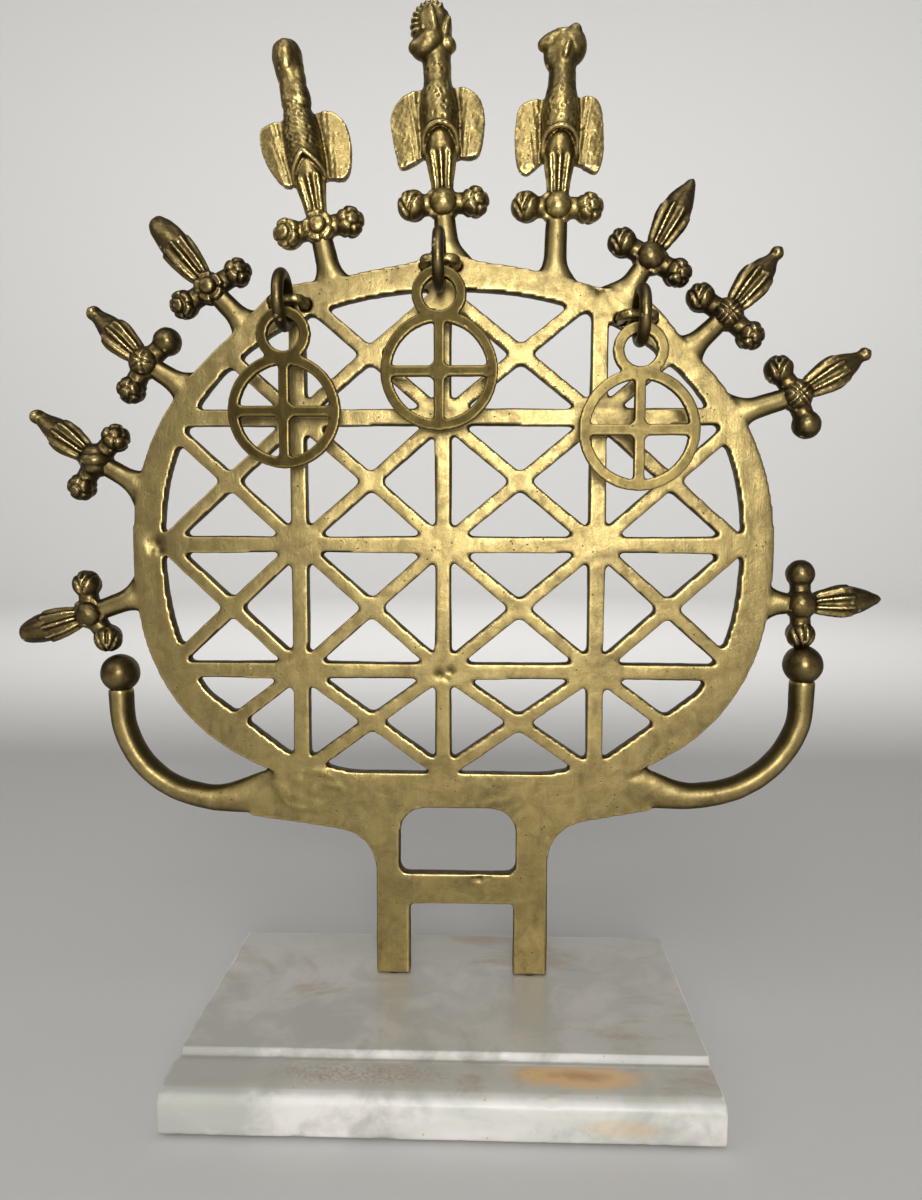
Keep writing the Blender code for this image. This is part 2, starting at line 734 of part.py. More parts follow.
def make_birds(brass):
    """The three bird finials: a cup on a ball, a bird's body and head, and two wings."""
    for bird in BIRDS:
        solids = finial_foot(bird)
        boss = disc_place(*bird.boss)
        frame = Matrix.Translation(boss) @ Matrix.Rotation(-math.radians(bird.lean), 4, "Y")
        for side in (-1, 1):
            off = frame @ Vector((side * BLOSSOM_OFF, 0, 0))
            solids.append(ball(off, BLOSSOM_R))
            solids.append(peg(boss, off, STEM_R * 0.9, 8))
        top = bird.height * MM
        profile = [(radius * MM, height * MM) for radius, height in BIRD_BODY]
        profile += [(radius * MM, top - depth * MM) for radius, depth in BIRD_HEAD]
        solids.append(turned(profile, 12, frame))
        beak_turn = math.radians(bird.beak_turn)
        beak = Vector((math.sin(beak_turn), -math.cos(beak_turn), -0.15))
        face = Vector((0, 0, top - 6 * MM))
        nose = frame @ (face + beak * MM)
        turn = (nose - frame @ face).to_track_quat("Z", "Y").to_matrix().to_4x4()
        cone = [(radius * MM, length * MM) for radius, length in BEAK]
        solids.append(turned(cone, 8, Matrix.Translation(frame @ face) @ turn))
        for side in (-1, 1):
            outline = [(side * x * MM, (z + bird.wing_lift) * MM) for x, z in WING]
            radii = [radius * MM for radius in WING_RADII]
            wing = prism(rounded_path(outline[::side], radii[::side]), *WING_Y)
            bmesh.ops.transform(wing, matrix=frame, verts=wing.verts)
            solids.append(wing)
        piece(bird.name, combine(bird.name, solids), brass)


def staple_place(hanger):
    """The middle of a staple's bar, which is its ring's hinge."""
    return disc_place(*hanger.staple, y=STAPLE_Y)


def ring_bottom(hanger):
    """The middle of the ring's lowest wire, which is its pendant's hinge."""
    off = Vector((0, RING_BACK, RING_DOWN - (RING_R - RING_WIRE)))
    return staple_place(hanger) + off


def make_staples(brass):
    """A bar in front of the rim for each ring, its two ends bent back into the rim."""
    for hanger in HANGERS:
        middle = staple_place(hanger)
        bend = 2.2 * MM
        path = [middle + Vector((-STAPLE_HALF, PLATE_FRONT + STAPLE_SINK - STAPLE_Y, 0))]
        for k in range(4):
            turn = math.pi / 2 * k / 3
            off = Vector((-STAPLE_HALF + bend * (1 - math.cos(turn)), bend * (1 - math.sin(turn)), 0))
            path.append(middle + off)
        path += [Vector((2 * middle.x - point.x, point.y, point.z)) for point in reversed(path)]
        bm = swept(path, [STAPLE_WIRE] * len(path), 8)
        piece(f"staple_{hanger.side}", mesh_of(bm, "staple"), brass)


def make_rings(brass):
    """A loose ring of round wire through each staple."""
    for hanger in HANGERS:
        centre = staple_place(hanger) + Vector((0, RING_BACK, RING_DOWN))
        radius = RING_R - RING_WIRE
        path = []
        for k in range(RING_STEPS):
            turn = 2 * math.pi * k / RING_STEPS
            path.append(centre + Vector((0, math.sin(turn), -math.cos(turn))) * radius)
        bm = swept(path, [RING_WIRE] * RING_STEPS, 8, closed=True)
        piece(f"ring_{hanger.side}", mesh_of(bm, "ring"), brass, staple_place(hanger))


def circle(middle, radius, start, end, steps):
    """Points along an arc, with both ends, angles in radians."""
    turns = [start + (end - start) * k / steps for k in range(steps + 1)]
    return [(middle[0] + radius * math.cos(t), middle[1] + radius * math.sin(t)) for t in turns]


def make_pendants(brass):
    """A four-spoked wheel with an eye at its top, hung on each ring."""
    for hanger in HANGERS:
        pivot = ring_bottom(hanger)
        eye = (0, -(EYE_HOLE_R - RING_WIRE - EYE_SLACK))
        hub = (0, -hanger.drop * MM)
        wheel_r = hanger.wheel_r * MM
        apart = eye[1] - hub[1]
        at_hub = math.acos((apart**2 + wheel_r**2 - EYE_R**2) / (2 * apart * wheel_r))
        at_eye = math.acos((apart**2 + EYE_R**2 - wheel_r**2) / (2 * apart * EYE_R))
        quarter = math.pi / 2
        outline = circle(hub, wheel_r, quarter + at_hub, 5 * quarter - at_hub, 32)[:-1]
        outline += circle(eye, EYE_R, at_eye - quarter, 3 * quarter - at_eye, 16)[:-1]
        inner = circle(hub, wheel_r - WHEEL_RIM, 0, 4 * quarter, 40)[:-1]
        openings = [circle(eye, EYE_HOLE_R, 0, 4 * quarter, 18)[:-1]]
        for sx in (-1, 1):
            for sz in (-1, 1):
                shape = clip(inner, (-sx, 0), -SPOKE_W / 2)
                shape = clip(shape, (0, -sz), -sz * hub[1] - SPOKE_W / 2)
                openings.append(blunt(shape, CORNER_CUT))
        front = pivot.y - PENDANT_T / 2
        bm = flat_casting([outline, *openings], PENDANT_T, front, (pivot.x, pivot.z))
        piece(f"pendant_{hanger.side}", mesh_of(bm, "pendant"), brass, pivot)


def main():
    """Build the whole standard."""
    clear_scene()
    brass = finish("polished_brass", BRASS, 0.28, 1.0)
    dark = finish("dark_brass", DARK_BRASS, 0.42, 1.0)
    make_base(finish("onyx", STONE, 0.3, 0.0), finish("felt", FELT, 0.95, 0.0))
    make_screws(finish("steel", STEEL, 0.35, 1.0))
    make_disc(brass)
    make_yoke(brass)
    make_horns(brass)
    make_buds(dark)
    make_birds(dark)
    make_staples(brass)
    make_rings(dark)
    make_pendants(brass)


main()
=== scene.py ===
"""Looks of a cast-brass openwork sun disc on a stepped onyx base.

The brass is cast and hand filed: bright where it is rubbed, olive brown where it isn't.
X runs across the disc, +Y goes to the back, +Z is up, in metres.
"""

import logging
import math
from collections.abc import Callable
from dataclasses import dataclass
from enum import Enum
from typing import Protocol

import bpy
import numpy as np
from mathutils import Matrix, Vector, noise


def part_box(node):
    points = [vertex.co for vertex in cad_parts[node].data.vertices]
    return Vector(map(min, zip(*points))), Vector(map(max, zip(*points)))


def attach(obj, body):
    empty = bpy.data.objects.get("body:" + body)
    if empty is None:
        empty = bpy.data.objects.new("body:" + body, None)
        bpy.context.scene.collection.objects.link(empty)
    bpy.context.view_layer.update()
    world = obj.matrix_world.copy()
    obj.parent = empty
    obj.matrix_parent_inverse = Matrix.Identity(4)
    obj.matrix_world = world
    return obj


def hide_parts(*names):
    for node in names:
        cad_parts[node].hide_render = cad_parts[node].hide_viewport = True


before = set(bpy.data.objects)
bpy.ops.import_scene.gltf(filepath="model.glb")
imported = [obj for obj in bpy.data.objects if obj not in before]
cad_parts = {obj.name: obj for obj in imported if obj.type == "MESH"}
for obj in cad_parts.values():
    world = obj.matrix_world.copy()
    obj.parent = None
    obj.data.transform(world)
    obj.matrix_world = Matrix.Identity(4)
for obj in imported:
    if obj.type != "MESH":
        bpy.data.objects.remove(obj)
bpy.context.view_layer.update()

MM = 0.001
Colour = tuple[float, float, float, float]
Place = tuple[float, float, float]
Profile = tuple[tuple[float, float], ...]
Sections = tuple[Place, ...]
Faces = list[tuple[int, ...]]
Skin = Callable[[np.ndarray, np.ndarray], np.ndarray]

# The brass plate and the places its parts are measured from.
PLATE_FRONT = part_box("sun_disc")[0].y
PLATE_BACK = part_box("sun_disc")[1].y
PLATE_MID = (PLATE_FRONT + PLATE_BACK) / 2
BASE_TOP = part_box("onyx_base")[1].z
DISC_X = (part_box("onyx_base")[0].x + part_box("onyx_base")[1].x) / 2
DISC_UP = 151.7 * MM
DISC_Z = BASE_TOP + DISC_UP
TO_FRONT = Vector((0, -1, 0))

log = logging.getLogger("sun_disc")


class Value:
    """A number that changes over a surface, for writing a finish as sums."""

    def __init__(self, kit: "NodeKit", socket: bpy.types.NodeSocket) -> None:
        """Wrap one output socket."""
        self.kit = kit
        self.socket = socket

    def __add__(self, other: "Value | float") -> "Value":
        """Add a number."""
        return self.kit.sums("ADD", self, other)

    __radd__ = __add__

    def __sub__(self, other: "Value | float") -> "Value":
        """Take a number away."""
        return self.kit.sums("SUBTRACT", self, other)

    def __rsub__(self, other: "Value | float") -> "Value":
        """Take this away from a number."""
        return self.kit.sums("SUBTRACT", other, self)

    def __mul__(self, other: "Value | float") -> "Value":
        """Multiply by a number."""
        return self.kit.sums("MULTIPLY", self, other)

    __rmul__ = __mul__


class NodeKit:
    """The nodes of one material."""

    def __init__(self, name: str) -> None:
        """Start a material that holds a Principled shader.

        Args:
            name: The material's name.
        """
        self.material = bpy.data.materials.new(name)
        self.material.use_nodes = True
        self.tree = self.material.node_tree
        self.shader = self.tree.nodes["Principled BSDF"]
        self.place = self.add("ShaderNodeTexCoord").outputs["Object"]
        self.facing = self.add("ShaderNodeTexCoord").outputs["Normal"]

    def put(self, socket: bpy.types.NodeSocket, value: object) -> None:
        """Set or link one input socket.

        Args:
            socket: The input.
            value: A number, a colour, a Value or another node's output.
        """
        if isinstance(value, Value):
            self.tree.links.new(value.socket, socket)
        elif isinstance(value, bpy.types.NodeSocket):
            self.tree.links.new(value, socket)
        else:
            socket.default_value = value

    def add(
        self,
        kind: str,
        settings: dict[str, object] | None = None,
        values: dict[str | int, object] | None = None,
    ) -> bpy.types.Node:
        """Add a node.

        Args:
            kind: The node's type.
            settings: Its own settings, set first.
            values: Numbers, colours, Values or sockets, by input name or index.

        Returns:
            The new node.
        """
        node = self.tree.nodes.new(kind)
        for name, setting in (settings or {}).items():
            setattr(node, name, setting)
        for name, value in (values or {}).items():
            self.put(node.inputs[name], value)
        return node

    def sums(self, operation: str, first: Value | float, second: Value | float = 0.0) -> Value:
        """One step of arithmetic as a Math node."""
        node = self.add("ShaderNodeMath", {"operation": operation}, {0: first, 1: second})
        return Value(self, node.outputs[0])

    def step(self, value: Value, low: float, high: float) -> Value:
        """A smooth step.

        Args:
            value: What is stepped.
            low: Where it is still 0.
            high: Where it has become 1.

        Returns:
            The step, from 0 to 1.
        """
        values = {"Value": value, "From Min": low, "From Max": high}
        node = self.add("ShaderNodeMapRange", {"interpolation_type": "SMOOTHSTEP"}, values)
        return Value(self, node.outputs["Result"])

    def stretched(self, scale: Place, turn: float = 0.0) -> bpy.types.NodeSocket:
        """The place on the object, scaled along its axes and turned about Y."""
        values = {"Vector": self.place, "Rotation": (0.0, turn, 0.0), "Scale": scale}
        return self.add("ShaderNodeMapping", None, values).outputs["Vector"]

    def noise(
        self,
        size: float,
        detail: float = 3.0,
        rough: float = 0.5,
        bend: float = 0.0,
        where: bpy.types.NodeSocket | None = None,
    ) -> Value:
        """Soft noise with lumps of about this size.

        Args:
            size: The lumps' size in metres, when where is left out.
            detail: How many finer layers there are.
            rough: How strong the finer layers are.
            bend: How far the noise is bent by itself.
            where: Another place to read the noise at.

        Returns:
            The noise, from 0 to 1.
        """
        values = {
            "Vector": self.place if where is None else where,
            "Scale": 1 / size,
            "Detail": detail,
            "Roughness": rough,
            "Distortion": bend,
        }
        return Value(self, self.add("ShaderNodeTexNoise", None, values).outputs["Fac"])

    def dots(self, size: float, low: float, high: float) -> Value:
        """Scattered dots, one to a cell of this size: 1 inside low, 0 outside high."""
        node = self.add("ShaderNodeTexVoronoi", None, {"Vector": self.place, "Scale": 1 / size})
        return 1 - self.step(Value(self, node.outputs["Distance"]), low, high)

    def mix(self, share: Value | float, first: object, second: object) -> bpy.types.NodeSocket:
        """Two colours mixed, with share of the second."""
        settings = {"data_type": "RGBA", "clamp_result": True}
        return self.add("ShaderNodeMix", settings, {0: share, 6: first, 7: second}).outputs[2]

    def edges(self, low: float, high: float) -> Value:
        """1 on ridges and edges, 0 in hollows, by how pointed the surface is."""
        point = Value(self, self.add("ShaderNodeNewGeometry").outputs["Pointiness"])
        return self.step(point, low, high)

    def looking(self, axis: str) -> Value:
        """How far a face looks along an axis, from -1 to 1."""
        split = self.add("ShaderNodeSeparateXYZ", None, {"Vector": self.facing})
        return Value(self, split.outputs[axis])

    def bump(self, height: Value, depth: float, strength: float = 1.0) -> None:
        """Give the shader relief of this depth in metres."""
        values = {"Height": height, "Distance": depth, "Strength": strength}
        self.put(self.shader.inputs["Normal"], self.add("ShaderNodeBump", None, values).outputs["Normal"])

    def finish(self, **sockets: object) -> bpy.types.Material:
        """Set the shader's sockets.

        Args:
            sockets: What each takes, by its name with _ for a space.

        Returns:
            The finished material.
        """
        for name, value in sockets.items():
            self.put(self.shader.inputs[name.replace("_", " ")], value)
        return self.material


class Finish(Protocol):
    """What every finish has: a name, and a way to make its material."""

    name: str

    def material(self) -> bpy.types.Material:
        """Build the finish."""


@dataclass(frozen=True)
class AgedBrass:
    """Cast brass, rubbed bright on its flats, brighter on its ridges from wear and painted highlight,
    and dark in its hollows and on its side walls from patina and painted shade.

    The shares say how much rubbed flats, ridges (wear and painted highlight), stains, side walls
    (patina and painted shade) and pits show.
    """

    name: str
    bright: Colour
    aged: Colour
    dark: Colour
    rubbed: float
    lifted: float
    stained: float
    wall_patina_and_shade: float
    ridges: tuple[float, float]
    roughness: float
    pits: float
    cloud: float = 24 * MM
    blotch: float = 8 * MM
    mottling: float = 3 * MM
    grain: float = 0.6 * MM
    pit: float = 2.2 * MM
    pit_patch: float = 9 * MM
    file_strokes: Place = (900, 900, 120)
    file_lean: float = 0.6
    relief: float = 0.13 * MM

    def material(self) -> bpy.types.Material:
        """Build the finish.

        Returns:
            The material.
        """
        kit = NodeKit(self.name)
        clouds = kit.noise(self.cloud, 4, 0.6, 0.6)
        mottle = kit.noise(self.mottling, 5, 0.65, 0.8)
        fine = kit.noise(self.grain, 3, 0.6)
        ridge = kit.edges(*self.ridges)
        # Hollows, where the surface is least pointed: a mask for patina and painted shade.
        hollow_patina_and_shade = 1 - kit.edges(self.ridges[0] - 0.07, self.ridges[0] - 0.005)
        blotches = kit.noise(self.blotch, 4, 0.6, 1.2)
        front = kit.step(kit.sums("ABSOLUTE", kit.looking("Y")), 0.6, 0.97)
        strokes = kit.noise(1.0, 4, 0.65, where=kit.stretched(self.file_strokes, self.file_lean))
        # Ridges are lifted towards the bright colour: partly wear on raised parts, partly a painted
        # highlight.
        rubbed = front * self.rubbed + ridge * self.lifted + clouds * 0.5 + mottle * 0.4 + strokes * 0.2
        rubbed = kit.step(rubbed, 0.75, 1.6)
        tarnish = clouds * 0.6 + blotches * 0.5 + mottle * 0.3 + fine * 0.2 - ridge * 0.3 - front * 0.15
        tarnish = kit.step(tarnish, 0.42, 0.92)
        colour = kit.mix(rubbed, self.aged, self.bright)
        colour = kit.mix(tarnish * self.stained, colour, self.dark)
        # Side walls, the faces not looking along Y, are darkened towards the dark colour: partly the raw cast
        # patina, partly painted shade.
        colour = kit.mix((1 - front) * (1 - ridge) * self.wall_patina_and_shade, colour, self.dark)
        # Hollows are darkened towards the dark colour: partly real patina, partly painted shade.
        colour = kit.mix(hollow_patina_and_shade * 0.9, colour, self.dark)
        spots = kit.dots(self.pit, 0.05, 0.16) * kit.step(kit.noise(self.pit_patch, 2), 0.5, 0.6)
        colour = kit.mix(spots * 0.8 * self.pits, colour, self.dark)
        kit.bump(fine * 0.3 + mottle * 0.9 + strokes * 0.35 - spots * 1.5 * self.pits, self.relief, 0.7)
        shine = self.roughness + mottle * 0.14 + tarnish * 0.16 - rubbed * 0.07
        shine = shine + hollow_patina_and_shade * 0.15 + (1 - front) * 0.08
        return kit.finish(Base_Color=colour, Metallic=1.0, Roughness=shine)


@dataclass(frozen=True)
class Onyx:
    """Pale banded onyx: milky white and grey green, with rust stains by the front edge.

    A stain is rusty and cream, a streak is cream, and a crust is tan grains. Top faces carry painted
    shade: a darker grey and more tan grains.
    """

    name: str
    milk: Colour
    grey: Colour
    green: Colour
    cream: Colour
    rust: Colour
    tan: Colour
    painted_top_shade: Colour
    stain_at: Place
    stain_reach: Place
    streak_at: Place
    streak_reach: Place
    crust_at: Place
    crust_reach: Place
    warp: float = 55 * MM
    ripples: float = 11 * MM
    grain: float = 1.1 * MM
    speck: float = 5 * MM

    def near(self, kit: NodeKit, at: Place, reach: Place, rough: Value) -> Value:
        """How near a place is, with an edge as rough as the noise.

        Args:
            kit: The material's nodes.
            at: The place, in metres.
            reach: How far it reaches along each axis.
            rough: The noise.

        Returns:
            About 1 at the place and 0 at its reach.
        """
        gap = kit.add("ShaderNodeVectorMath", {"operation": "SUBTRACT"}, {0: kit.place, 1: at})
        scaled = kit.add("ShaderNodeVectorMath", {"operation": "DIVIDE"}, {0: gap.outputs[0], 1: reach})
        length = kit.add("ShaderNodeVectorMath", {"operation": "LENGTH"}, {0: scaled.outputs[0]})
        return 1.0 - Value(kit, length.outputs["Value"]) + (rough - 0.5) * 0.9

    def material(self) -> bpy.types.Material:
        """Build the finish.

        Returns:
            The material.
        """
        kit = NodeKit(self.name)
        warp = kit.noise(self.warp, 4, 0.55, 0.5)
        small = kit.noise(self.ripples, 5, 0.6, 0.5)
        drift = kit.noise(1.0, 4, 0.55, 0.5, kit.stretched((13, 24, 40), 0.1))
        # Top faces: the mask for painted shade.
        top = kit.step(kit.looking("Z"), 0.9, 0.99)
        colour = kit.mix(kit.step(warp + small * 0.5, 0.62, 0.84), self.grey, self.milk)
        colour = kit.mix(kit.step(drift, 0.45, 0.7) * 0.7, colour, self.green)
        # Painted shade: top faces are mixed towards a darker grey.
        colour = kit.mix(top * 0.68, colour, self.painted_top_shade)
        tan = kit.step(kit.noise(1.0, 6, 0.66, 0.7, kit.stretched((17, 30, 30), -0.2)), 0.54, 0.68)
        # Tan grains all over, with more of them on top faces as painted shade.
        colour = kit.mix(tan * (0.14 + top * 0.5), colour, self.tan)
        stain = self.near(kit, self.stain_at, self.stain_reach, small)
        colour = kit.mix(kit.step(stain, 0.0, 0.45) * 0.85, colour, self.cream)
        colour = kit.mix(kit.step(stain, 0.45, 0.95) * 0.7, colour, self.rust)
        streak = self.near(kit, self.streak_at, self.streak_reach, small)
        colour = kit.mix(kit.step(streak, 0.1, 0.6) * 0.35, colour, self.cream)
        crust = self.near(kit, self.crust_at, self.crust_reach, small)
        grains = kit.step(kit.noise(self.grain, 4, 0.7), 0.44, 0.6)
        colour = kit.mix(kit.step(crust, 0.0, 0.5) * grains * 0.7, colour, self.tan)
        specks = kit.dots(self.speck, 0.03, 0.09) * kit.step(warp, 0.48, 0.56)
        colour = kit.mix(specks * 0.6, colour, self.rust)
        return kit.finish(
            Base_Color=colour,
            Roughness=0.3 + warp * 0.18,
            Subsurface_Weight=0.2,
            Subsurface_Radius=(0.010, 0.009, 0.007),
            Subsurface_Scale=0.3,
            Coat_Weight=0.25,
            Coat_Roughness=0.2,
        )


@dataclass(frozen=True)
class Felt:
    """Pressed wool felt."""

    name: str
    light: Colour
    deep: Colour
    fibre: Place = (900, 2600, 900)
    nap: float = 0.3 * MM

    def material(self) -> bpy.types.Material:
        """Build the finish.

        Returns:
            The material.
        """
        kit = NodeKit(self.name)
        fibres = kit.noise(1.0, 6, 0.75, 2.0, kit.stretched(self.fibre, 0.5))
        colour = kit.mix(fibres, self.deep, self.light)
        kit.bump(fibres, self.nap)
        return kit.finish(Base_Color=colour, Roughness=0.9 + fibres * 0.1, Sheen_Weight=0.4)


@dataclass(frozen=True)
class Steel:
    """Turned steel with fine rings and some grease."""

    name: str
    clean: Colour
    dull: Colour
    smear: float = 1.5 * MM
    groove: float = 0.25 * MM
    groove_depth: float = 0.03 * MM

    def material(self) -> bpy.types.Material:
        """Build the finish.

        Returns:
            The material.
        """
        kit = NodeKit(self.name)
        grease = kit.noise(self.smear, 4)
        rings = kit.noise(self.groove, 2)
        kit.bump(rings, self.groove_depth)
        colour = kit.mix(kit.step(grease, 0.4, 0.7), self.clean, self.dull)
        return kit.finish(Base_Color=colour, Metallic=1.0, Roughness=0.28 + grease * 0.25)


@dataclass(frozen=True)
class Paper:
    """The studio's pale floor."""

    name: str
    shade: Colour
    speck: Colour

    def material(self) -> bpy.types.Material:
        """Build the finish.

        Returns:
            The material.
        """
        kit = NodeKit(self.name)
        colour = kit.mix(kit.noise(4 * MM, 5, 0.6) * 0.5, self.shade, self.speck)
        return kit.finish(Base_Color=colour, Roughness=0.75 + kit.noise(0.2, 2) * 0.1)


POLISHED = AgedBrass(
    name="filed_brass",
    bright=(0.76, 0.58, 0.25, 1),
    aged=(0.33, 0.25, 0.085, 1),
    dark=(0.045, 0.032, 0.011, 1),
    rubbed=0.62,
    lifted=0.35,
    stained=0.72,
    wall_patina_and_shade=0.78,
    ridges=(0.505, 0.55),
    roughness=0.28,
    pits=1.0,
)
# Painted shade: a darker copy of the brass for the left and middle pendants.
PENDANT_SHADED = AgedBrass(
    name="pendant_shaded_brass",
    bright=(0.30, 0.22, 0.07, 1),
    aged=(0.075, 0.055, 0.018, 1),
    dark=(0.03, 0.021, 0.008, 1),
    rubbed=0.3,
    lifted=0.8,
    stained=0.65,
    wall_patina_and_shade=0.6,
    ridges=(0.5, 0.54),
    roughness=0.3,
    pits=0.6,
)
# Painted light: a lighter copy of the pendant brass for the right pendant.
PENDANT_LIT = AgedBrass(
    name="pendant_lit_brass",
    bright=(0.56, 0.43, 0.17, 1),
    aged=(0.21, 0.155, 0.05, 1),
    dark=(0.05, 0.035, 0.013, 1),
    rubbed=0.5,
    lifted=0.5,
    stained=0.55,
    wall_patina_and_shade=0.9,
    ridges=(0.5, 0.55),
    roughness=0.34,
    pits=0.6,
)
DARKENED = AgedBrass(
    name="cast_brass",
    bright=(0.78, 0.60, 0.27, 1),
    aged=(0.27, 0.195, 0.075, 1),
    dark=(0.018, 0.013, 0.006, 1),
    rubbed=0.35,
    lifted=0.8,
    stained=0.75,
    wall_patina_and_shade=0.5,
    ridges=(0.5, 0.57),
    roughness=0.2,
    pits=0.4,
)
# Lighter brass for the birds and staples: partly wear, partly a painted highlight that makes the chests and
# domes brighter.
WORN_AND_LIT = AgedBrass(
    name="worn_and_lit_brass",
    bright=(0.90, 0.69, 0.29, 1),
    aged=(0.50, 0.365, 0.125, 1),
    dark=(0.025, 0.018, 0.007, 1),
    rubbed=0.5,
    lifted=0.7,
    stained=0.85,
    wall_patina_and_shade=0.2,
    ridges=(0.498, 0.56),
    roughness=0.2,
    pits=1.0,
)
STONE = Onyx(
    name="milky_onyx",
    milk=(0.97, 0.93, 0.88, 1),
    grey=(0.58, 0.57, 0.52, 1),
    green=(0.68, 0.70, 0.62, 1),
    cream=(0.82, 0.53, 0.22, 1),
    rust=(0.48, 0.22, 0.06, 1),
    tan=(0.40, 0.30, 0.20, 1),
    painted_top_shade=(0.43, 0.41, 0.36, 1),
    stain_at=(0.042, -0.037, 0.0145),
    stain_reach=(0.025, 0.007, 0.003),
    streak_at=(0.052, -0.045, 0.006),
    streak_reach=(0.016, 0.012, 0.004),
    crust_at=(-0.020, -0.037, 0.0155),
    crust_reach=(0.034, 0.009, 0.0032),
)
FELT = Felt("wool_felt", (0.05, 0.1, 0.06, 1), (0.015, 0.04, 0.02, 1))
STEEL = Steel("turned_steel", (0.6, 0.6, 0.6, 1), (0.33, 0.31, 0.28, 1))
PAPER = Paper("studio_floor", (0.72, 0.71, 0.69, 1), (0.69, 0.68, 0.66, 1))


def quads(high: int, wide: int, closed: bool = False) -> Faces:
    """The faces of a skin over rows of points, closed round each row.

    Args:
        high: How many rows there are.
        wide: How many points each row has.
        closed: Whether the last row joins the first.

    Returns:
        Each face's points, by number.
    """
    faces = []
    for i in range(high if closed else high - 1):
        near, far = i * wide, (i + 1) % high * wide
        for k in range(wide):
            j = (k + 1) % wide
            faces.append((near + k, near + j, far + j, far + k))
    return faces


def around(sides: int, along: np.ndarray) -> list[np.ndarray]:
    """Two grids for a turned shape: the angle round it, and the place along it."""
    return np.meshgrid(np.linspace(0, 2 * math.pi, sides, endpoint=False), along)


def unit_ball(turns: np.ndarray, polars: np.ndarray) -> np.ndarray:
    """Points on a ball of radius 1, from their angles round Z and away from it."""
    return np.stack([np.sin(polars) * np.cos(turns), np.sin(polars) * np.sin(turns), np.cos(polars)], -1)


class Clay:
    """Closed shapes gathered together, then cast as one skin."""

    def __init__(self) -> None:
        """Start with nothing."""
        self.points: list[np.ndarray] = []
        self.faces: Faces = []
        self.count = 0

    def add(self, points: np.ndarray, faces: Faces) -> None:
        """Add one closed shape.

        Args:
            points: Its points, in metres.
            faces: Each face's points, by number.
        """
        self.points.append(np.asarray(points, float).reshape(-1, 3))
        self.faces += [tuple(self.count + i for i in face) for face in faces]
        self.count += len(self.points[-1])

    def node(self, name: str) -> None:
        """Add the shape of a CAD node.

        Args:
            name: The node's name.
        """
        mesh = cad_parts[name].data
        points = np.array([v.co for v in mesh.vertices], float)
        _, first, again = np.unique(np.round(points, 7), axis=0, return_index=True, return_inverse=True)
        again = again.reshape(-1)
        faces = [tuple(int(again[i]) for i in face.vertices) for face in mesh.polygons]
        self.add(points[first], [face for face in faces if len(set(face)) > 2])

    def rows(self, rows: np.ndarray) -> None:
        """Add a skin round rows of points, closed round each row and capped at the ends.

        Args:
            rows: An array of rows x points x 3.
        """
        high, wide = rows.shape[:2]
        faces = quads(high, wide)
        faces.append(tuple(reversed(range(wide))))
        faces.append(tuple(range((high - 1) * wide, high * wide)))
        self.add(rows.reshape(-1, 3), faces)

    def loft(self, centres: list[Vector], wides: list[float], deeps: list[float], sides: int = 28) -> None:
        """Add a bar through centres that lie in one upright plane.

        Args:
            centres: The middles of its sections.
            wides: Half widths across the bar in that plane.
            deeps: Half depths along Y.
            sides: Points round each section.
        """
        turns = np.linspace(0, 2 * math.pi, sides, endpoint=False)
        rows = []
        for i, centre in enumerate(centres):
            along = (centres[min(i + 1, len(centres) - 1)] - centres[max(i - 1, 0)]).normalized()
            side = np.array(along.cross(Vector((0, 1, 0))).normalized())
            ring = np.outer(np.cos(turns) * wides[i], side) + np.outer(np.sin(turns) * deeps[i], (0, 1, 0))
            rows.append(ring + np.array(centre))
        self.rows(np.array(rows))

    def slab(self, outline: list[tuple[float, float]], low: float, high: float, place: Matrix) -> None:
        """Add a flat plate.

        Args:
            outline: Its corners (x, z), in metres.
            low: Where it starts along Y.
            high: Where it ends along Y.
            place: Where it goes.
        """
        count = len(outline)
        points = [place @ Vector((x, y, z)) for y in (low, high) for x, z in outline]
        faces = [tuple(range(count)), tuple(reversed(range(count, 2 * count)))]
        faces += [(i, count + i, count + (i + 1) % count, (i + 1) % count) for i in range(count)]
        self.add(np.array([tuple(p) for p in points]), faces)

    def cast(self, name: str, voxel: float, smooth: int) -> bpy.types.Object:
        """Join every shape into one closed skin.

        Args:
            name: The new object's name.
            voxel: The size of the skin's faces in metres.
            smooth: How many times its corners are rubbed down.

        Returns:
            The object, in the scene.
        """
        mesh = bpy.data.meshes.new(name)
        mesh.from_pydata(np.concatenate(self.points).tolist(), [], self.faces)
        obj = bpy.data.objects.new(name, mesh)
        bpy.context.scene.collection.objects.link(obj)
        remesh = obj.modifiers.new("skin", "REMESH")
        remesh.mode = "VOXEL"
        remesh.voxel_size = voxel
        if smooth:
            rub = obj.modifiers.new("rub", "SMOOTH")
            rub.iterations = smooth
            rub.factor = 0.5
        settle(obj)
        obj.data.shade_smooth()
        return obj


def settle(obj: bpy.types.Object) -> None:
    """Turn modifiers into mesh.

    Args:
        obj: The object, which ends with no modifiers.
    """
    bpy.context.view_layer.update()
    graph = bpy.context.evaluated_depsgraph_get()
    old = obj.data
    obj.data = bpy.data.meshes.new_from_object(obj.evaluated_get(graph))
    obj.modifiers.clear()
    obj.data.name = obj.name
    bpy.data.meshes.remove(old)


def thin(obj: bpy.types.Object, most: int) -> None:
    """Join faces where the surface is flat.

    Args:
        obj: The object, made of four-sided faces.
        most: How many triangles it may end with.
    """
    triangles = len(obj.data.polygons) * 2
    if triangles > most:
        fewer = obj.modifiers.new("fewer", "DECIMATE")
        fewer.ratio = most / triangles
        settle(obj)
        obj.data.shade_smooth()


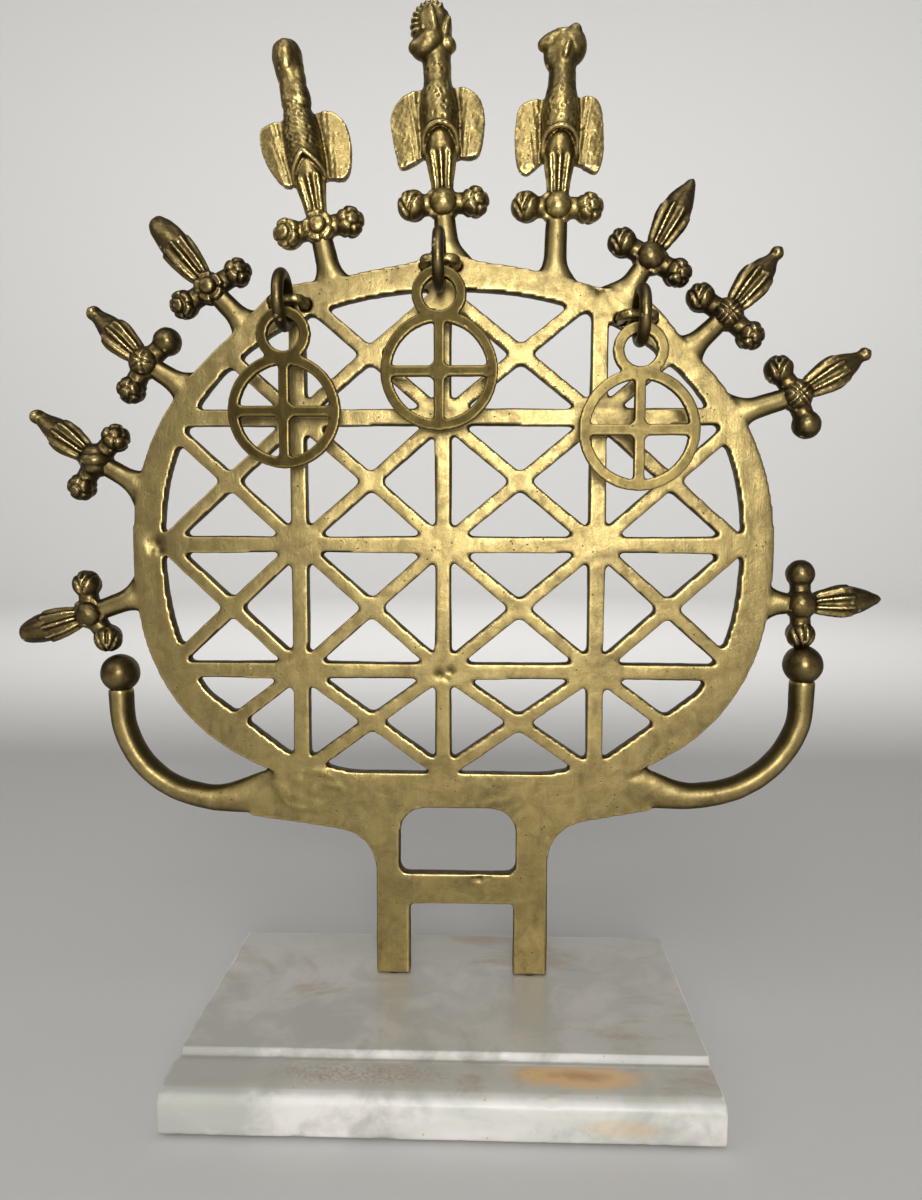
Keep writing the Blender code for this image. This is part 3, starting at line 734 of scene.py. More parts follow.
def push(obj: bpy.types.Object, amount: Skin) -> None:
    """Move each point along its normal.

    Args:
        obj: The object.
        amount: Gives how far in metres, from the points and their normals.
    """
    mesh = obj.data
    points = np.empty(len(mesh.vertices) * 3, np.float32)
    normals = np.empty(len(mesh.vertices) * 3, np.float32)
    mesh.vertices.foreach_get("co", points)
    mesh.vertices.foreach_get("normal", normals)
    points, normals = points.reshape(-1, 3).astype(float), normals.reshape(-1, 3).astype(float)
    points += normals * np.asarray(amount(points, normals))[:, None]
    mesh.vertices.foreach_set("co", points.astype(np.float32).ravel())
    mesh.update()


def ripple(points: np.ndarray, size: float, seed: int) -> np.ndarray:
    """Soft waves in all directions.

    Args:
        points: Where they are read.
        size: About how long they are, in metres.
        seed: Which set of waves.

    Returns:
        Heights from about -1 to 1.
    """
    random = np.random.default_rng(seed)
    total = np.zeros(len(points))
    for _ in range(7):
        way = random.normal(size=3)
        way *= 2 * math.pi / (size * np.linalg.norm(way) * random.uniform(0.7, 1.4))
        total += np.sin(points @ way + random.uniform(0, 6.28))
    return total / 3.5


def wavy(size: float, seed: int, depth: float) -> Skin:
    """A push by soft waves of this size in metres and this depth in mm."""
    return lambda points, _normals: ripple(points, size, seed) * depth * MM


def lumps(points: np.ndarray, size: float) -> np.ndarray:
    """Scattered round lumps of this size, from 0 between them to 1 on top."""
    scaled = points / size
    return np.array([1 - min(1, noise.voronoi(p)[0][0] * 1.3) for p in scaled])


def smooth_step(value: np.ndarray, low: float, high: float) -> np.ndarray:
    """0 below low, 1 above high, and smooth between them."""
    t = np.clip((value - low) / (high - low), 0, 1)
    return t * t * (3 - 2 * t)


def spline(knots: Profile, at: np.ndarray) -> np.ndarray:
    """A smooth curve through knots.

    Args:
        knots: Places and the values there.
        at: Where the curve is read.

    Returns:
        The values there.
    """
    xs = np.array([k[0] for k in knots], float)
    ys = np.array([k[1] for k in knots], float)
    slopes = np.gradient(ys, xs)
    i = np.clip(np.searchsorted(xs, at) - 1, 0, len(xs) - 2)
    span = xs[i + 1] - xs[i]
    t = np.clip((at - xs[i]) / span, 0, 1)
    a, b = (1 + 2 * t) * (1 - t) ** 2, t * (1 - t) ** 2 * span
    c, d = t * t * (3 - 2 * t), t * t * (t - 1) * span
    return a * ys[i] + b * slopes[i] + c * ys[i + 1] + d * slopes[i + 1]


def disc_place(x: float, z: float, y: float = PLATE_MID) -> Vector:
    """A point from millimetres across from the disc's middle and above the base's top."""
    return Vector((DISC_X + x * MM, y, BASE_TOP + z * MM))


def dress(obj: bpy.types.Object, finish: Finish, slot: str, body: str, *nodes: str) -> None:
    """Give a piece its finish and its body.

    Args:
        obj: The piece.
        finish: Its finish.
        slot: The record's material slot it takes after; not used.
        body: The body it rides on.
        nodes: The CAD nodes it stands for.
    """
    obj.data.materials.clear()
    obj.data.materials.append(material_of(finish))
    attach(obj, body)
    if nodes:
        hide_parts(*nodes)
    log.info("%s: %d faces on %s", obj.name, len(obj.data.polygons), body)


def material_of(finish: Finish) -> bpy.types.Material:
    """The finish's material, made once."""
    return bpy.data.materials.get(finish.name) or finish.material()


@dataclass(frozen=True)
class Rim:
    """The disc's outer edge: nearly round above, squarer below, swollen under the staples."""

    half: float = 109 * MM
    top: float = 93.6 * MM
    bottom: float = 87 * MM
    round_above: float = 2.05
    round_below: float = 2.62
    # Each swelling's middle and half width in degrees, and its height.
    swells: Sections = ((124, 7, 4.5 * MM), (91, 5, 3 * MM), (51, 7, 4.5 * MM))

    def reach(self, degrees: float) -> float:
        """How far out the edge lies.

        Args:
            degrees: The angle round the disc, from +X towards +Z.

        Returns:
            The distance from the disc's middle, in metres.
        """
        c, s = math.cos(math.radians(degrees)), math.sin(math.radians(degrees))
        height, power = (self.top, self.round_above) if s >= 0 else (self.bottom, self.round_below)
        reach = (abs(c / self.half) ** power + abs(s / height) ** power) ** (-1 / power)
        for middle, width, swell in self.swells:
            away = (degrees - middle + 180) % 360 - 180
            reach += swell * math.exp(-((away / width) ** 2))
        return reach

    def point(self, degrees: float, out: float = 0.0) -> Vector:
        """A place on the edge.

        Args:
            degrees: The angle round the disc.
            out: How far it is moved out.

        Returns:
            The place, in the middle of the plate's thickness.
        """
        reach = self.reach(degrees) + out
        turn = math.radians(degrees)
        return Vector((DISC_X + reach * math.cos(turn), PLATE_MID, DISC_Z + reach * math.sin(turn)))


RIM = Rim()


@dataclass
class Casting:
    """The disc, its leg yoke and its horns: one filed casting with flaws.

    Paths and flaws are in mm, from the disc's middle and the base's top.
    """

    voxel: float = 0.75 * MM
    knob_voxel: float = 0.5 * MM
    most: int = 195000
    seam: tuple[float, float] = (232.5, 307.5)
    seam_in: float = 1.2 * MM
    seam_out: float = 1.6 * MM
    # A finial's stub: heights above the rim's edge, half widths and half depths, in mm.
    stub_heights: tuple[float, ...] = (-4, -1.5, 0.3, 1.6, 3.2, 5.5)
    stub_wides: tuple[float, ...] = (9.0, 7.4, 5.9, 5.0, 4.2, 3.7, 3.4)
    stub_deeps: tuple[float, ...] = (2.3, 2.4, 2.6, 2.8, 2.95, 3.05, 3.1)
    bird_stout: float = 1.05
    horn_left: Profile = (
        (-70.3, 61.4),
        (-84, 62.3),
        (-98, 66.8),
        (-108.7, 76),
        (-114.5, 88),
        (-115.6, 101.4),
    )
    horn_right: Profile = (
        (70.3, 64.6),
        (84, 64.6),
        (99, 68.2),
        (111.4, 76.8),
        (119.2, 89.5),
        (120.6, 105.8),
    )
    horn_r: float = 4.3
    # How a horn widens and flattens towards its root, by the distance along it.
    horn_wides: Profile = ((0, 6.6), (5, 5.6), (11, 4.8), (20, 4.35), (80, 4.3))
    horn_deeps: Profile = ((0, 2.9), (8, 3.5), (18, 4.1), (30, 4.3), (80, 4.3))
    # The root inside the shoulder: how far in, half width and half depth.
    root: Sections = ((16, 9.0, 2.3), (11, 8.6, 2.4), (6, 7.8, 2.55), (3, 7.2, 2.7))
    # Each flaw's place (x, z), radius and depth.
    flaws: tuple[tuple[float, float, float, float], ...] = (
        (-101, 152.5, 2.2, 1.5),
        (-99.5, 149.5, 1.2, 1.0),
        (-102.5, 149.5, 0.8, 0.6),
        (48, 238.5, 2.0, 1.3),
        (49.5, 235.5, 1.1, 0.8),
        (-3.5, 107.5, 1.3, 0.9),
        (0.2, 108.6, 1.1, 0.8),
        (-1, 105.8, 0.7, 0.5),
        (10.5, 35.2, 1.1, 0.9),
        (8.2, 35.0, 0.7, 0.5),
        (13.5, 35.6, 0.6, 0.5),
    )

    def bridge(self, clay: Clay) -> None:
        """Close the seam between the disc and the yoke.

        Args:
            clay: Where it goes.
        """
        ends = [self.seam[0] + (self.seam[1] - self.seam[0]) * k / 60 for k in range(61)]
        inner = [RIM.point(d, -self.seam_in) for d in ends]
        outer = [RIM.point(d, self.seam_out) for d in reversed(ends)]
        clay.slab([(p.x, p.z) for p in inner + outer], PLATE_FRONT, PLATE_BACK, Matrix.Identity(4))

    def sprouts(self, clay: Clay) -> None:
        """Add the flared stubs that the finials stand on.

        Args:
            clay: Where they go.
        """
        for finial in BUDS + BIRDS:
            foot = RIM.point(finial.rim_angle)
            stout = self.bird_stout if isinstance(finial, Bird) else 1.0
            way = disc_place(*finial.boss) - foot
            length = way.length
            way.normalize()
            heights = (*self.stub_heights, max(6.5, length / MM - 3.5))
            wides = [w * stout * MM for w in self.stub_wides]
            clay.loft([foot + way * h * MM for h in heights], wides, [d * MM for d in self.stub_deeps])

    def horns(self, clay: Clay) -> None:
        """Add the two curved rods, flattened where they run into the shoulders.

        Args:
            clay: Where they go.
        """
        for path in (self.horn_left, self.horn_right):
            side = math.copysign(1, path[0][0])
            xs, zs = [p[0] for p in path], [p[1] for p in path]
            marks = np.concatenate([[0], np.cumsum(np.hypot(np.diff(xs), np.diff(zs)))])
            at = np.linspace(0, marks[-1], 70)
            along_x = spline(tuple(zip(marks, xs)), at)
            along_z = spline(tuple(zip(marks, zs)), at)
            centres = [disc_place(x, z) for x, z in zip(along_x, along_z)]
            inward = [disc_place(path[0][0] - side * depth, path[0][1]) for depth, _, _ in self.root]
            wides = [wide for _, wide, _ in self.root] + list(spline(self.horn_wides, at))
            deeps = [deep for _, _, deep in self.root] + list(spline(self.horn_deeps, at))
            lifts = [Vector((0, 0, (wide - self.horn_r) * 0.95 * MM)) for wide in wides]
            lifted = [centre + lift for centre, lift in zip(inward + centres, lifts)]
            clay.loft(lifted, [w * MM for w in wides], [d * MM for d in deeps], 36)

    def shape(self, points: np.ndarray, normals: np.ndarray) -> np.ndarray:
        """Hand filing, casting flaws and the patch of solder by the left shoulder.

        Args:
            points: The skin's points.
            normals: Their normals.

        Returns:
            How far each point moves out.
        """
        moved = ripple(points, 22 * MM, 3) * 0.10 * MM + ripple(points, 7 * MM, 5) * 0.05 * MM
        front = smooth_step(-normals[:, 1], 0.5, 0.9)
        for x, z, radius, depth in self.flaws:
            away = np.hypot(points[:, 0] - DISC_X - x * MM, points[:, 2] - BASE_TOP - z * MM)
            moved -= front * depth * MM * np.exp(-((away / (radius * MM)) ** 2))
        patch = np.hypot((points[:, 0] - DISC_X + 49 * MM) / 13, (points[:, 2] - BASE_TOP - 66 * MM) / 8) / MM
        uneven = patch + 0.12 * ripple(points, 9 * MM, 8)
        solder = front * (1 - smooth_step(uneven, 0.85, 1.0))
        moved += solder * (0.2 + 0.09 * ripple(points, 3.5 * MM, 9)) * MM
        return moved

    def build(self) -> None:
        """Cast it and dress it."""
        clay = Clay()
        for name in ("sun_disc", "leg_yoke"):
            clay.node(name)
        self.bridge(clay)
        self.sprouts(clay)
        self.horns(clay)
        obj = clay.cast("disc_and_yoke_casting", self.voxel, 4)
        push(obj, self.shape)
        thin(obj, self.most)
        dress(obj, POLISHED, "polished_brass", "standard", "sun_disc", "leg_yoke", "horn_left", "horn_right")
        for side in ("left", "right"):
            self.knob(f"horn_knob_{side}")

    def knob(self, name: str) -> None:
        """Cast the ball on a horn's end.

        Args:
            name: Its CAD node.
        """
        clay = Clay()
        low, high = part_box(name)
        grow(clay, (low + high) / 2, (high.x - low.x) / 2, TO_FRONT, Relief.SMOOTH)
        ball = clay.cast(f"{name}_cast", self.knob_voxel, 3)
        push(ball, wavy(6 * MM, 4, 0.06))
        dress(ball, DARKENED, "polished_brass", "standard", name)


class Relief(Enum):
    """What is cut into a ball."""

    SMOOTH = "smooth"
    ROSETTE = "rosette"
    STAR = "star"
    CROSS = "cross"
    MELON = "melon"
    PETALS = "petals"
    LEAF = "leaf"
    COLLAR = "collar"


def relief(kind: Relief, polar: np.ndarray, turn: np.ndarray) -> np.ndarray:
    """How far a ball's skin stands out, as a share of its radius.

    Args:
        kind: The pattern.
        polar: The angle from the ball's face, from 0 to pi.
        turn: The angle round its face.

    Returns:
        The share at each point.
    """
    x, z = np.sin(polar) * np.cos(turn), np.sin(polar) * np.sin(turn)
    front = 1 - smooth_step(polar, 1.35, 1.7)

    def ring(at: float, width: float) -> np.ndarray:
        """1 along a circle round the face, 0 away from it."""
        return np.exp(-(((polar - at) / width) ** 2))

    if kind is Relief.ROSETTE:
        seams = np.exp(-((np.sin(2.5 * turn) / 0.28) ** 2)) * smooth_step(polar, 0.6, 0.8)
        return front * (0.1 - 0.22 * ring(0.62, 0.14) - 0.2 * seams - 0.16 * ring(1.35, 0.16))
    if kind is Relief.STAR:
        rays = np.exp(-((np.sin(2.5 * turn + 0.3) * np.sin(polar) / 0.13) ** 2))
        rays = rays * (1 - smooth_step(polar, 0.7, 0.9))
        return -0.17 * rays - 0.12 * ring(1.0, 0.1) + 0.04 * front
    if kind is Relief.CROSS:
        a, b = (x + z) * 0.707, (z - x) * 0.707
        inside = 1 - smooth_step(polar, 0.95, 1.1)
        lines = sum(np.exp(-(((np.abs(v) - 0.14) / 0.07) ** 2)) for v in (a, b))
        return inside * (0.03 - 0.13 * np.minimum(lines, 1)) - 0.14 * ring(1.12, 0.11)
    if kind is Relief.MELON:
        return 0.16 * np.abs(np.cos(3.9 * z)) ** 0.6 - 0.08
    if kind is Relief.PETALS:
        seams = np.exp(-((np.sin(2.5 * turn + 0.9) / 0.3) ** 2)) * smooth_step(polar, 0.2, 0.5)
        return 0.03 - 0.15 * seams - 0.12 * ring(0.5, 0.12) - 0.1 * ring(1.6, 0.18)
    if kind is Relief.LEAF:
        lines = np.exp(-(((np.abs(x) - 0.5 * (z + 0.75)) / 0.1) ** 2))
        lines = lines + np.exp(-((x / 0.09) ** 2)) * (z > 0)
        inside = 1 - smooth_step(polar, 1.1, 1.4)
        return 0.03 - 0.2 * np.minimum(lines, 1) * inside - 0.08 * ring(1.7, 0.2)
    if kind is Relief.COLLAR:
        notches = 0.1 * np.cos(5 * turn) * smooth_step(polar, 1.0, 1.25)
        return 0.04 - 0.2 * ring(0.98, 0.11) + notches * front
    return np.zeros_like(polar)


def grow(clay: Clay, middle: Vector, radius: float, face: Vector, kind: Relief) -> None:
    """Add a ball with a relief.

    Args:
        clay: Where it goes.
        middle: Its middle.
        radius: Its radius.
        face: Which way its relief looks.
        kind: The relief.
    """
    turns, polars = around(72, np.linspace(0.02, math.pi - 0.02, 48))
    reach = radius * (1 + relief(kind, polars, turns))
    spin = np.array(face.to_track_quat("Z", "Y").to_matrix())
    clay.rows(((unit_ball(turns, polars) * reach[..., None]) @ spin.T + np.array(middle))[::-1])


def stem(clay: Clay, rim_angle: float, boss: Vector, sections: Sections) -> None:
    """Add the stem from the rim to a finial's ball.

    Args:
        clay: Where it goes.
        rim_angle: Where it stands on the rim, in degrees.
        boss: The ball's middle.
        sections: The share of the way, half width and half depth in mm of each section.
    """
    foot = RIM.point(rim_angle)
    way = (boss - foot).normalized()
    reach = (boss - foot).length
    spots = [foot + way * reach * share for share, _, _ in sections]
    clay.loft(spots, [wide * MM for _, wide, _ in sections], [deep * MM for _, _, deep in sections])


def blossom(clay: Clay, boss: Vector, at: Vector, radius: float, face: Vector, kind: Relief) -> None:
    """Add a small ball beside a finial's ball, joined to it by a neck.

    Args:
        clay: Where it goes.
        boss: The finial's ball's middle.
        at: Its middle.
        radius: Its radius.
        face: Which way its relief looks.
        kind: The relief.
    """
    grow(clay, at, radius, face, kind)
    clay.loft([boss, at], [3.5 * MM, 3.4 * MM], [3.3 * MM, 3.2 * MM])


def brazed(points: np.ndarray, _normals: np.ndarray) -> np.ndarray:
    """The unevenness of small castings and their brazed stems."""
    return ripple(points, 4 * MM, 11) * 0.07 * MM + ripple(points, 1.6 * MM, 12) * 0.03 * MM


class Tip(Enum):
    """How a bud ends."""

    ROUND = "round"
    POINT = "point"
    KNOB = "knob"
    HOOK = "hook"


# How each kind of bud swells: the share of its length, and the share of its girth there.
SWELLING: dict[Tip, Profile] = {
    Tip.KNOB: ((0.08, 0.5), (0.3, 0.82), (0.52, 1), (0.7, 0.74), (0.84, 0.4), (0.93, 0.42)),
    Tip.HOOK: ((0.08, 0.5), (0.3, 0.84), (0.5, 1), (0.68, 0.8), (0.85, 0.52), (0.96, 0.36)),
    Tip.POINT: ((0.08, 0.5), (0.3, 0.78), (0.52, 1), (0.72, 0.85), (0.88, 0.45), (0.96, 0.24)),
    Tip.ROUND: ((0.08, 0.5), (0.3, 0.84), (0.55, 1), (0.78, 0.92), (0.91, 0.68), (0.97, 0.42)),
}


@dataclass
class Bud:
    """A bud finial: a ball with two blossoms beside it, and a fluted bud on top.

    Angles are in degrees, the ball's place (x, z), length and girth in mm. The reliefs are the
    ball's, then the two blossoms'.
    """

    name: str
    rim_angle: float
    boss: tuple[float, float]
    lean: float
    length: float
    blossoms: tuple[float, float]
    tip: Tip
    reliefs: tuple[Relief, Relief, Relief]
    flutes: int = 9
    arch: float = 0.55
    voxel: float = 0.36 * MM
    boss_r: float = 5.5 * MM
    blossom_r: float = 4.8 * MM
    blossom_off: float = 10.3 * MM
    girth: float = 5.1
    hook: float = 1.6 * MM
    stem_sections: Sections = (
        (0.12, 3.2, 2.5),
        (0.3, 3.0, 2.7),
        (0.5, 2.9, 2.8),
        (0.7, 2.9, 2.9),
        (1.0, 2.9, 2.9),
    )

    def profile(self) -> Profile:
        """(share of length, half width in mm) of the bud."""
        return (*((share, wide * self.girth) for share, wide in SWELLING[self.tip]), (1, 0.05))

    def bud(self, clay: Clay) -> None:
        """Add the fluted bud: ribs below, an arched edge, and three soft lobes above it.

        Args:
            clay: Where it goes.
        """
        turns, ups = around(96, np.linspace(0.08, 1.0, 70))
        width = spline(self.profile(), ups) * MM
        ridge = (0.5 + 0.5 * np.cos(self.flutes * turns)) ** 1.4
        arch = self.arch + 0.045 * np.cos(self.flutes * turns / 2) ** 2
        leaves = 1 - smooth_step(ups, arch, arch + 0.035)
        width += leaves * (1.25 * ridge - 0.5) * MM * smooth_step(ups, 0.05, 0.22)
        lobes = smooth_step(ups, arch, arch + 0.06) * (1 - smooth_step(ups, 0.78, 0.93))
        width += lobes * (0.55 * np.abs(np.cos(1.5 * turns + 0.5)) ** 0.5 - 0.5) * MM
        heights = ups * self.length * MM
        bend = smooth_step(ups, 0.82, 1.0) * (self.hook if self.tip is Tip.HOOK else 0.0)
        local = np.stack([width * np.cos(turns) + bend, width * np.sin(turns), heights], -1)
        lean = math.radians(self.lean)
        way = Vector((math.cos(lean), 0, math.sin(lean)))
        spin = np.array(way.to_track_quat("Z", "Y").to_matrix())
        clay.rows(local @ spin.T + np.array(disc_place(*self.boss)))

    def build(self) -> None:
        """Cast it and dress it."""
        clay = Clay()
        boss = disc_place(*self.boss)
        stem(clay, self.rim_angle, boss, self.stem_sections)
        grow(clay, boss, self.boss_r, TO_FRONT, self.reliefs[0])
        for degrees, kind in zip(self.blossoms, self.reliefs[1:]):
            turn = math.radians(degrees)
            off = Vector((math.cos(turn), 0, math.sin(turn)))
            blossom(clay, boss, boss + off * self.blossom_off, self.blossom_r, off * 0.5 + TO_FRONT, kind)
        self.bud(clay)
        obj = clay.cast(f"{self.name}_cast", self.voxel, 2)
        push(obj, brazed)
        dress(obj, DARKENED, "dark_brass", "standard", self.name)


class Head(Enum):
    """The three birds' heads."""

    DOME = "dome"
    CREST = "crest"
    BEAK = "beak"


@dataclass(frozen=True)
class HeadShape:
    """A bird's head: a turned core and egg shapes on it, in mm.

    The core's first knot is a height and a half width, the others are drops from the head's top.
    Each egg has its middle (x, y, drop from the top), its half sizes and its tilt in degrees.
    """

    core: Profile
    eggs: tuple[tuple[Place, Place, float], ...]


HEADS = {
    Head.DOME: HeadShape(
        core=((40, 4.9), (14, 4.4), (8, 4.9), (4, 4.7), (1.2, 3.0), (0, 0.4)),
        eggs=(
            ((-0.2, -2.6, 7), (3.2, 3.3, 6), 5),
            ((1.4, -0.8, 18.5), (3.8, 4.2, 6.5), -12),
            ((2.2, -0.6, 12), (2.6, 3.4, 5.5), -10),
        ),
    ),
    Head.BEAK: HeadShape(
        core=((38, 4.2), (14, 4.3), (9, 5.2), (5, 4.4), (2, 2.4), (1.4, 0.3)),
        eggs=(
            ((2.0, 0, 7), (5.6, 4.7, 6.2), 16),
            ((-2.0, -0.8, 4.6), (6.8, 3.2, 2.5), -20),
            ((-4.2, -0.8, 6.9), (4.2, 2.8, 2.0), -8),
            ((-2.2, -0.8, 10.4), (4.2, 3.4, 5.6), -14),
            ((3.2, -0.6, 3.2), (2.6, 2.9, 3.4), 20),
            ((0.9, -4.3, 9.5), (1.1, 1.4, 3.2), 14),
        ),
    ),
    Head.CREST: HeadShape(
        core=((40, 4.6), (15, 4.8), (9, 5.4), (4, 5.0), (1.4, 3.2), (0.3, 0.3)),
        eggs=(
            ((-2.2, -2.4, 12.6), (6.4, 4.4, 4.4), -38),
            ((-4.4, -2.8, 13.4), (4.6, 3.2, 2.9), -12),
            ((-1.4, -3.2, 8.2), (3.8, 2.9, 7.2), -10),
            ((-0.4, -4.6, 7.8), (1.7, 1.9, 6.2), -8),
            ((3.6, -1.4, 13.0), (3.2, 3.2, 2.6), 28),
            ((3.4, -2.6, 9.8), (1.5, 2.4, 5.4), 16),
        ),
    ),
}


@dataclass
class Bird:
    """A bird finial: a ball, a fluted cup with an arched edge, a scaly body and two wings.

    Angles are in degrees; the ball's place (x, z), the height above it, and every (height, half
    width) are in mm.
    """

    name: str
    rim_angle: float
    boss: tuple[float, float]
    lean: float
    height: float
    head: Head
    wings: tuple[Profile, Profile]
    reliefs: tuple[Relief, Relief, Relief]
    voxel: float = 0.4 * MM
    cup: Profile = ((3.0, 2.9), (8, 3.5), (14, 4.5), (18, 4.9), (21.5, 4.6), (25, 3.4))
    body: Profile = ((14, 5.0), (19, 5.6), (24, 6.0), (29, 6.1), (34, 5.5), (38, 4.7), (43, 4.4))
    cup_ribs: float = 1.2
    stem_sections: Sections = tuple((k, 3.2, 2.8) for k in (0.3, 0.5, 0.7, 1.0))
    boss_r: float = 5.5 * MM
    blossom_r: float = 5.0 * MM
    blossom_off: float = 10.2 * MM
    rim_wire: float = 0.8 * MM
    wing_front: float = 0.3 * MM
    wing_back: float = 3.1 * MM
    comb_feathers: int = 11

    def place(self) -> Matrix:
        """The bird's own frame: its ball's middle, Z up through its head, in metres."""
        return Matrix.Translation(disc_place(*self.boss)) @ Matrix.Rotation(-math.radians(self.lean), 4, "Y")

    def turned(self, clay: Clay, profile: Profile, flutes: float = 0.0) -> None:
        """Add a turned shape.

        Args:
            clay: Where it goes.
            profile: Its (height, half width) knots.
            flutes: How high its nine ribs are.
        """
        turns, heights = around(72, np.linspace(profile[0][0], profile[-1][0], 44))
        width = spline(profile, heights)
        if flutes:
            ridge = (0.5 + 0.5 * np.cos(9 * turns + math.pi / 2)) ** 1.5
            width += flutes * (ridge - 0.35) * (1 - smooth_step(heights, 15.0, 17.0))
        ones = np.full_like(heights, 1000)
        local = np.stack([width * np.cos(turns), width * np.sin(turns), heights, ones], -1)
        clay.rows(((local * MM) @ np.array(self.place()).T)[..., :3])

    def egg(self, clay: Clay, at: Place, size: Place, tilt: float) -> None:
        """Add an egg shape.

        Args:
            clay: Where it goes.
            at: Its middle in mm, in the bird's frame.
            size: Its half sizes in mm.
            tilt: Its turn about Y in degrees.
        """
        turns, polars = around(40, np.linspace(0.03, math.pi - 0.03, 26))
        local = unit_ball(turns, polars) * np.array(size) * MM
        tilted = Matrix.Rotation(math.radians(tilt), 4, "Y")
        spin = np.array(self.place() @ Matrix.Translation(Vector(at) * MM) @ tilted)
        clay.rows((local @ spin[:3, :3].T + spin[:3, 3])[::-1])

    def edge(self, turns: np.ndarray) -> np.ndarray:
        """How high the arched edge of the body lies.

        Args:
            turns: The angles round the body.

        Returns:
            The heights, in mm.
        """
        peak = 23.2 if self.head is Head.DOME else 23.6
        share = np.abs(np.sin(turns))
        arch = np.arcsin(share) / (math.pi / 2) if self.head is Head.DOME else share**0.55
        return 14.5 + (peak - 14.5) * arch

    def chest(self, clay: Clay) -> None:
        """Add the body, which ends below in two arched edges, front and back, with a raised rim.

        Args:
            clay: Where it goes.
        """
        turns, ups = around(72, np.linspace(0, 1, 40))
        heights = self.edge(turns) * (1 - ups) + self.body[-1][0] * ups
        width = spline(self.body, heights)
        local = np.stack([width * np.cos(turns), width * np.sin(turns), heights], -1)
        spin = np.array(self.place())
        inner = local[:1] * np.array([0.4, 0.4, 1.0])
        clay.rows((np.concatenate([inner, local]) * MM) @ spin[:3, :3].T + spin[:3, 3])
        rim = [self.place() @ (Vector(p) * MM) for p in local[0] * np.array([1.03, 1.03, 1.0])]
        self.wire(clay, rim + rim[:1], self.rim_wire)

    def wire(self, clay: Clay, centres: list[Vector], radius: float) -> None:
        """Add a round wire.

        Args:
            clay: Where it goes.
            centres: The middles of its sections.
            radius: Its radius.
        """
        turns = np.linspace(0, 2 * math.pi, 14, endpoint=False)
        rows = []
        for i, centre in enumerate(centres):
            along = (centres[min(i + 1, len(centres) - 1)] - centres[max(i - 1, 0)]).normalized()
            side = along.cross(Vector((0.01, 1, 0.02))).normalized()
            up = along.cross(side)
            ring = np.outer(np.cos(turns), side) + np.outer(np.sin(turns), up)
            rows.append(ring * radius + np.array(centre))
        clay.rows(np.array(rows))

    def add_wings(self, clay: Clay) -> None:
        """Add the two flat rounded wings.

        Args:
            clay: Where they go.
        """
        for outline in self.wings:
            knots = outline + outline[:1]
            marks = np.arange(len(knots), dtype=float)
            at = np.linspace(0, marks[-1], 60, endpoint=False)
            x = spline(tuple(zip(marks, [k[0] for k in knots])), at)
            z = spline(tuple(zip(marks, [k[1] for k in knots])), at)
            clay.slab([(a * MM, b * MM) for a, b in zip(x, z)], self.wing_front, self.wing_back, self.place())

    def make_head(self, clay: Clay) -> None:
        """Add the head that this bird has.

        Args:
            clay: Where it goes.
        """
        top, head = self.height, HEADS[self.head]
        self.turned(clay, (head.core[0], *((top - drop, wide) for drop, wide in head.core[1:])))
        for (x, y, drop), size, tilt in head.eggs:
            self.egg(clay, (x, y, top - drop), size, tilt)
        if self.head is Head.CREST:
            for k in range(self.comb_feathers):
                turn = math.radians(-28 + 15 * k)
                at = (-0.9 - 5.2 * math.cos(turn), -1.8, top - 7.4 + 6.1 * math.sin(turn))
                self.egg(clay, at, (2.2, 2.8, 0.78), math.degrees(turn))

    def shape(self, points: np.ndarray, normals: np.ndarray) -> np.ndarray:
        """Scales on the body, pits on the wings, and the grooves beside the body.

        Args:
            points: The skin's points.
            normals: Their normals.

        Returns:
            How far each point moves out.
        """
        inverse = np.array(self.place().inverted())
        local = (points @ inverse[:3, :3].T + inverse[:3, 3]) / MM
        x, z = local[:, 0], local[:, 2]
        top = self.height
        on_body = smooth_step(z, 22, 24) * (1 - smooth_step(z, top - 22, top - 17)) * (np.abs(x) < 7.5)
        on_wing = smooth_step(np.abs(x), 6.0, 8.0) * smooth_step(z, 11, 14) * (1 - smooth_step(z, 40, 43))
        pocks = smooth_step(lumps(points, 2.1 * MM), 0.45, 0.85)
        pits = ripple(points, 1.3 * MM, 51)
        feather = np.sin((np.abs(x) - z * 0.16) * 3.2)
        strokes = np.sin((x * 0.8 + z) * 3.6 + ripple(points, 6 * MM, 52)) if self.head is Head.DOME else 0.0
        body = -0.3 * pocks + 0.05 * strokes
        swell = 0.55 * (1 - smooth_step(np.abs(np.abs(x) - 9.6), 0.0, 6.5))
        swell = swell * smooth_step(np.abs(normals[:, 1]), 0.6, 0.9)
        moved = on_body * body + on_wing * swell + on_wing * (pits * 0.04 + feather * 0.07 * (np.abs(x) < 10))
        return moved * MM + brazed(points, normals)

    def build(self) -> None:
        """Cast it and dress it."""
        clay = Clay()
        boss = disc_place(*self.boss)
        stem(clay, self.rim_angle, boss, self.stem_sections)
        grow(clay, boss, self.boss_r, TO_FRONT, self.reliefs[0])
        for side, kind in zip((-1, 1), self.reliefs[1:]):
            off = self.place() @ Vector((side * self.blossom_off, 0, 0))
            blossom(clay, boss, off, self.blossom_r, (off - boss).normalized() * 0.4 + TO_FRONT, kind)
        self.turned(clay, self.cup, self.cup_ribs)
        self.chest(clay)
        self.add_wings(clay)
        self.make_head(clay)
        obj = clay.cast(f"{self.name}_cast", self.voxel, 2)
        push(obj, self.shape)
        dress(obj, WORN_AND_LIT, "dark_brass", "standard", self.name)


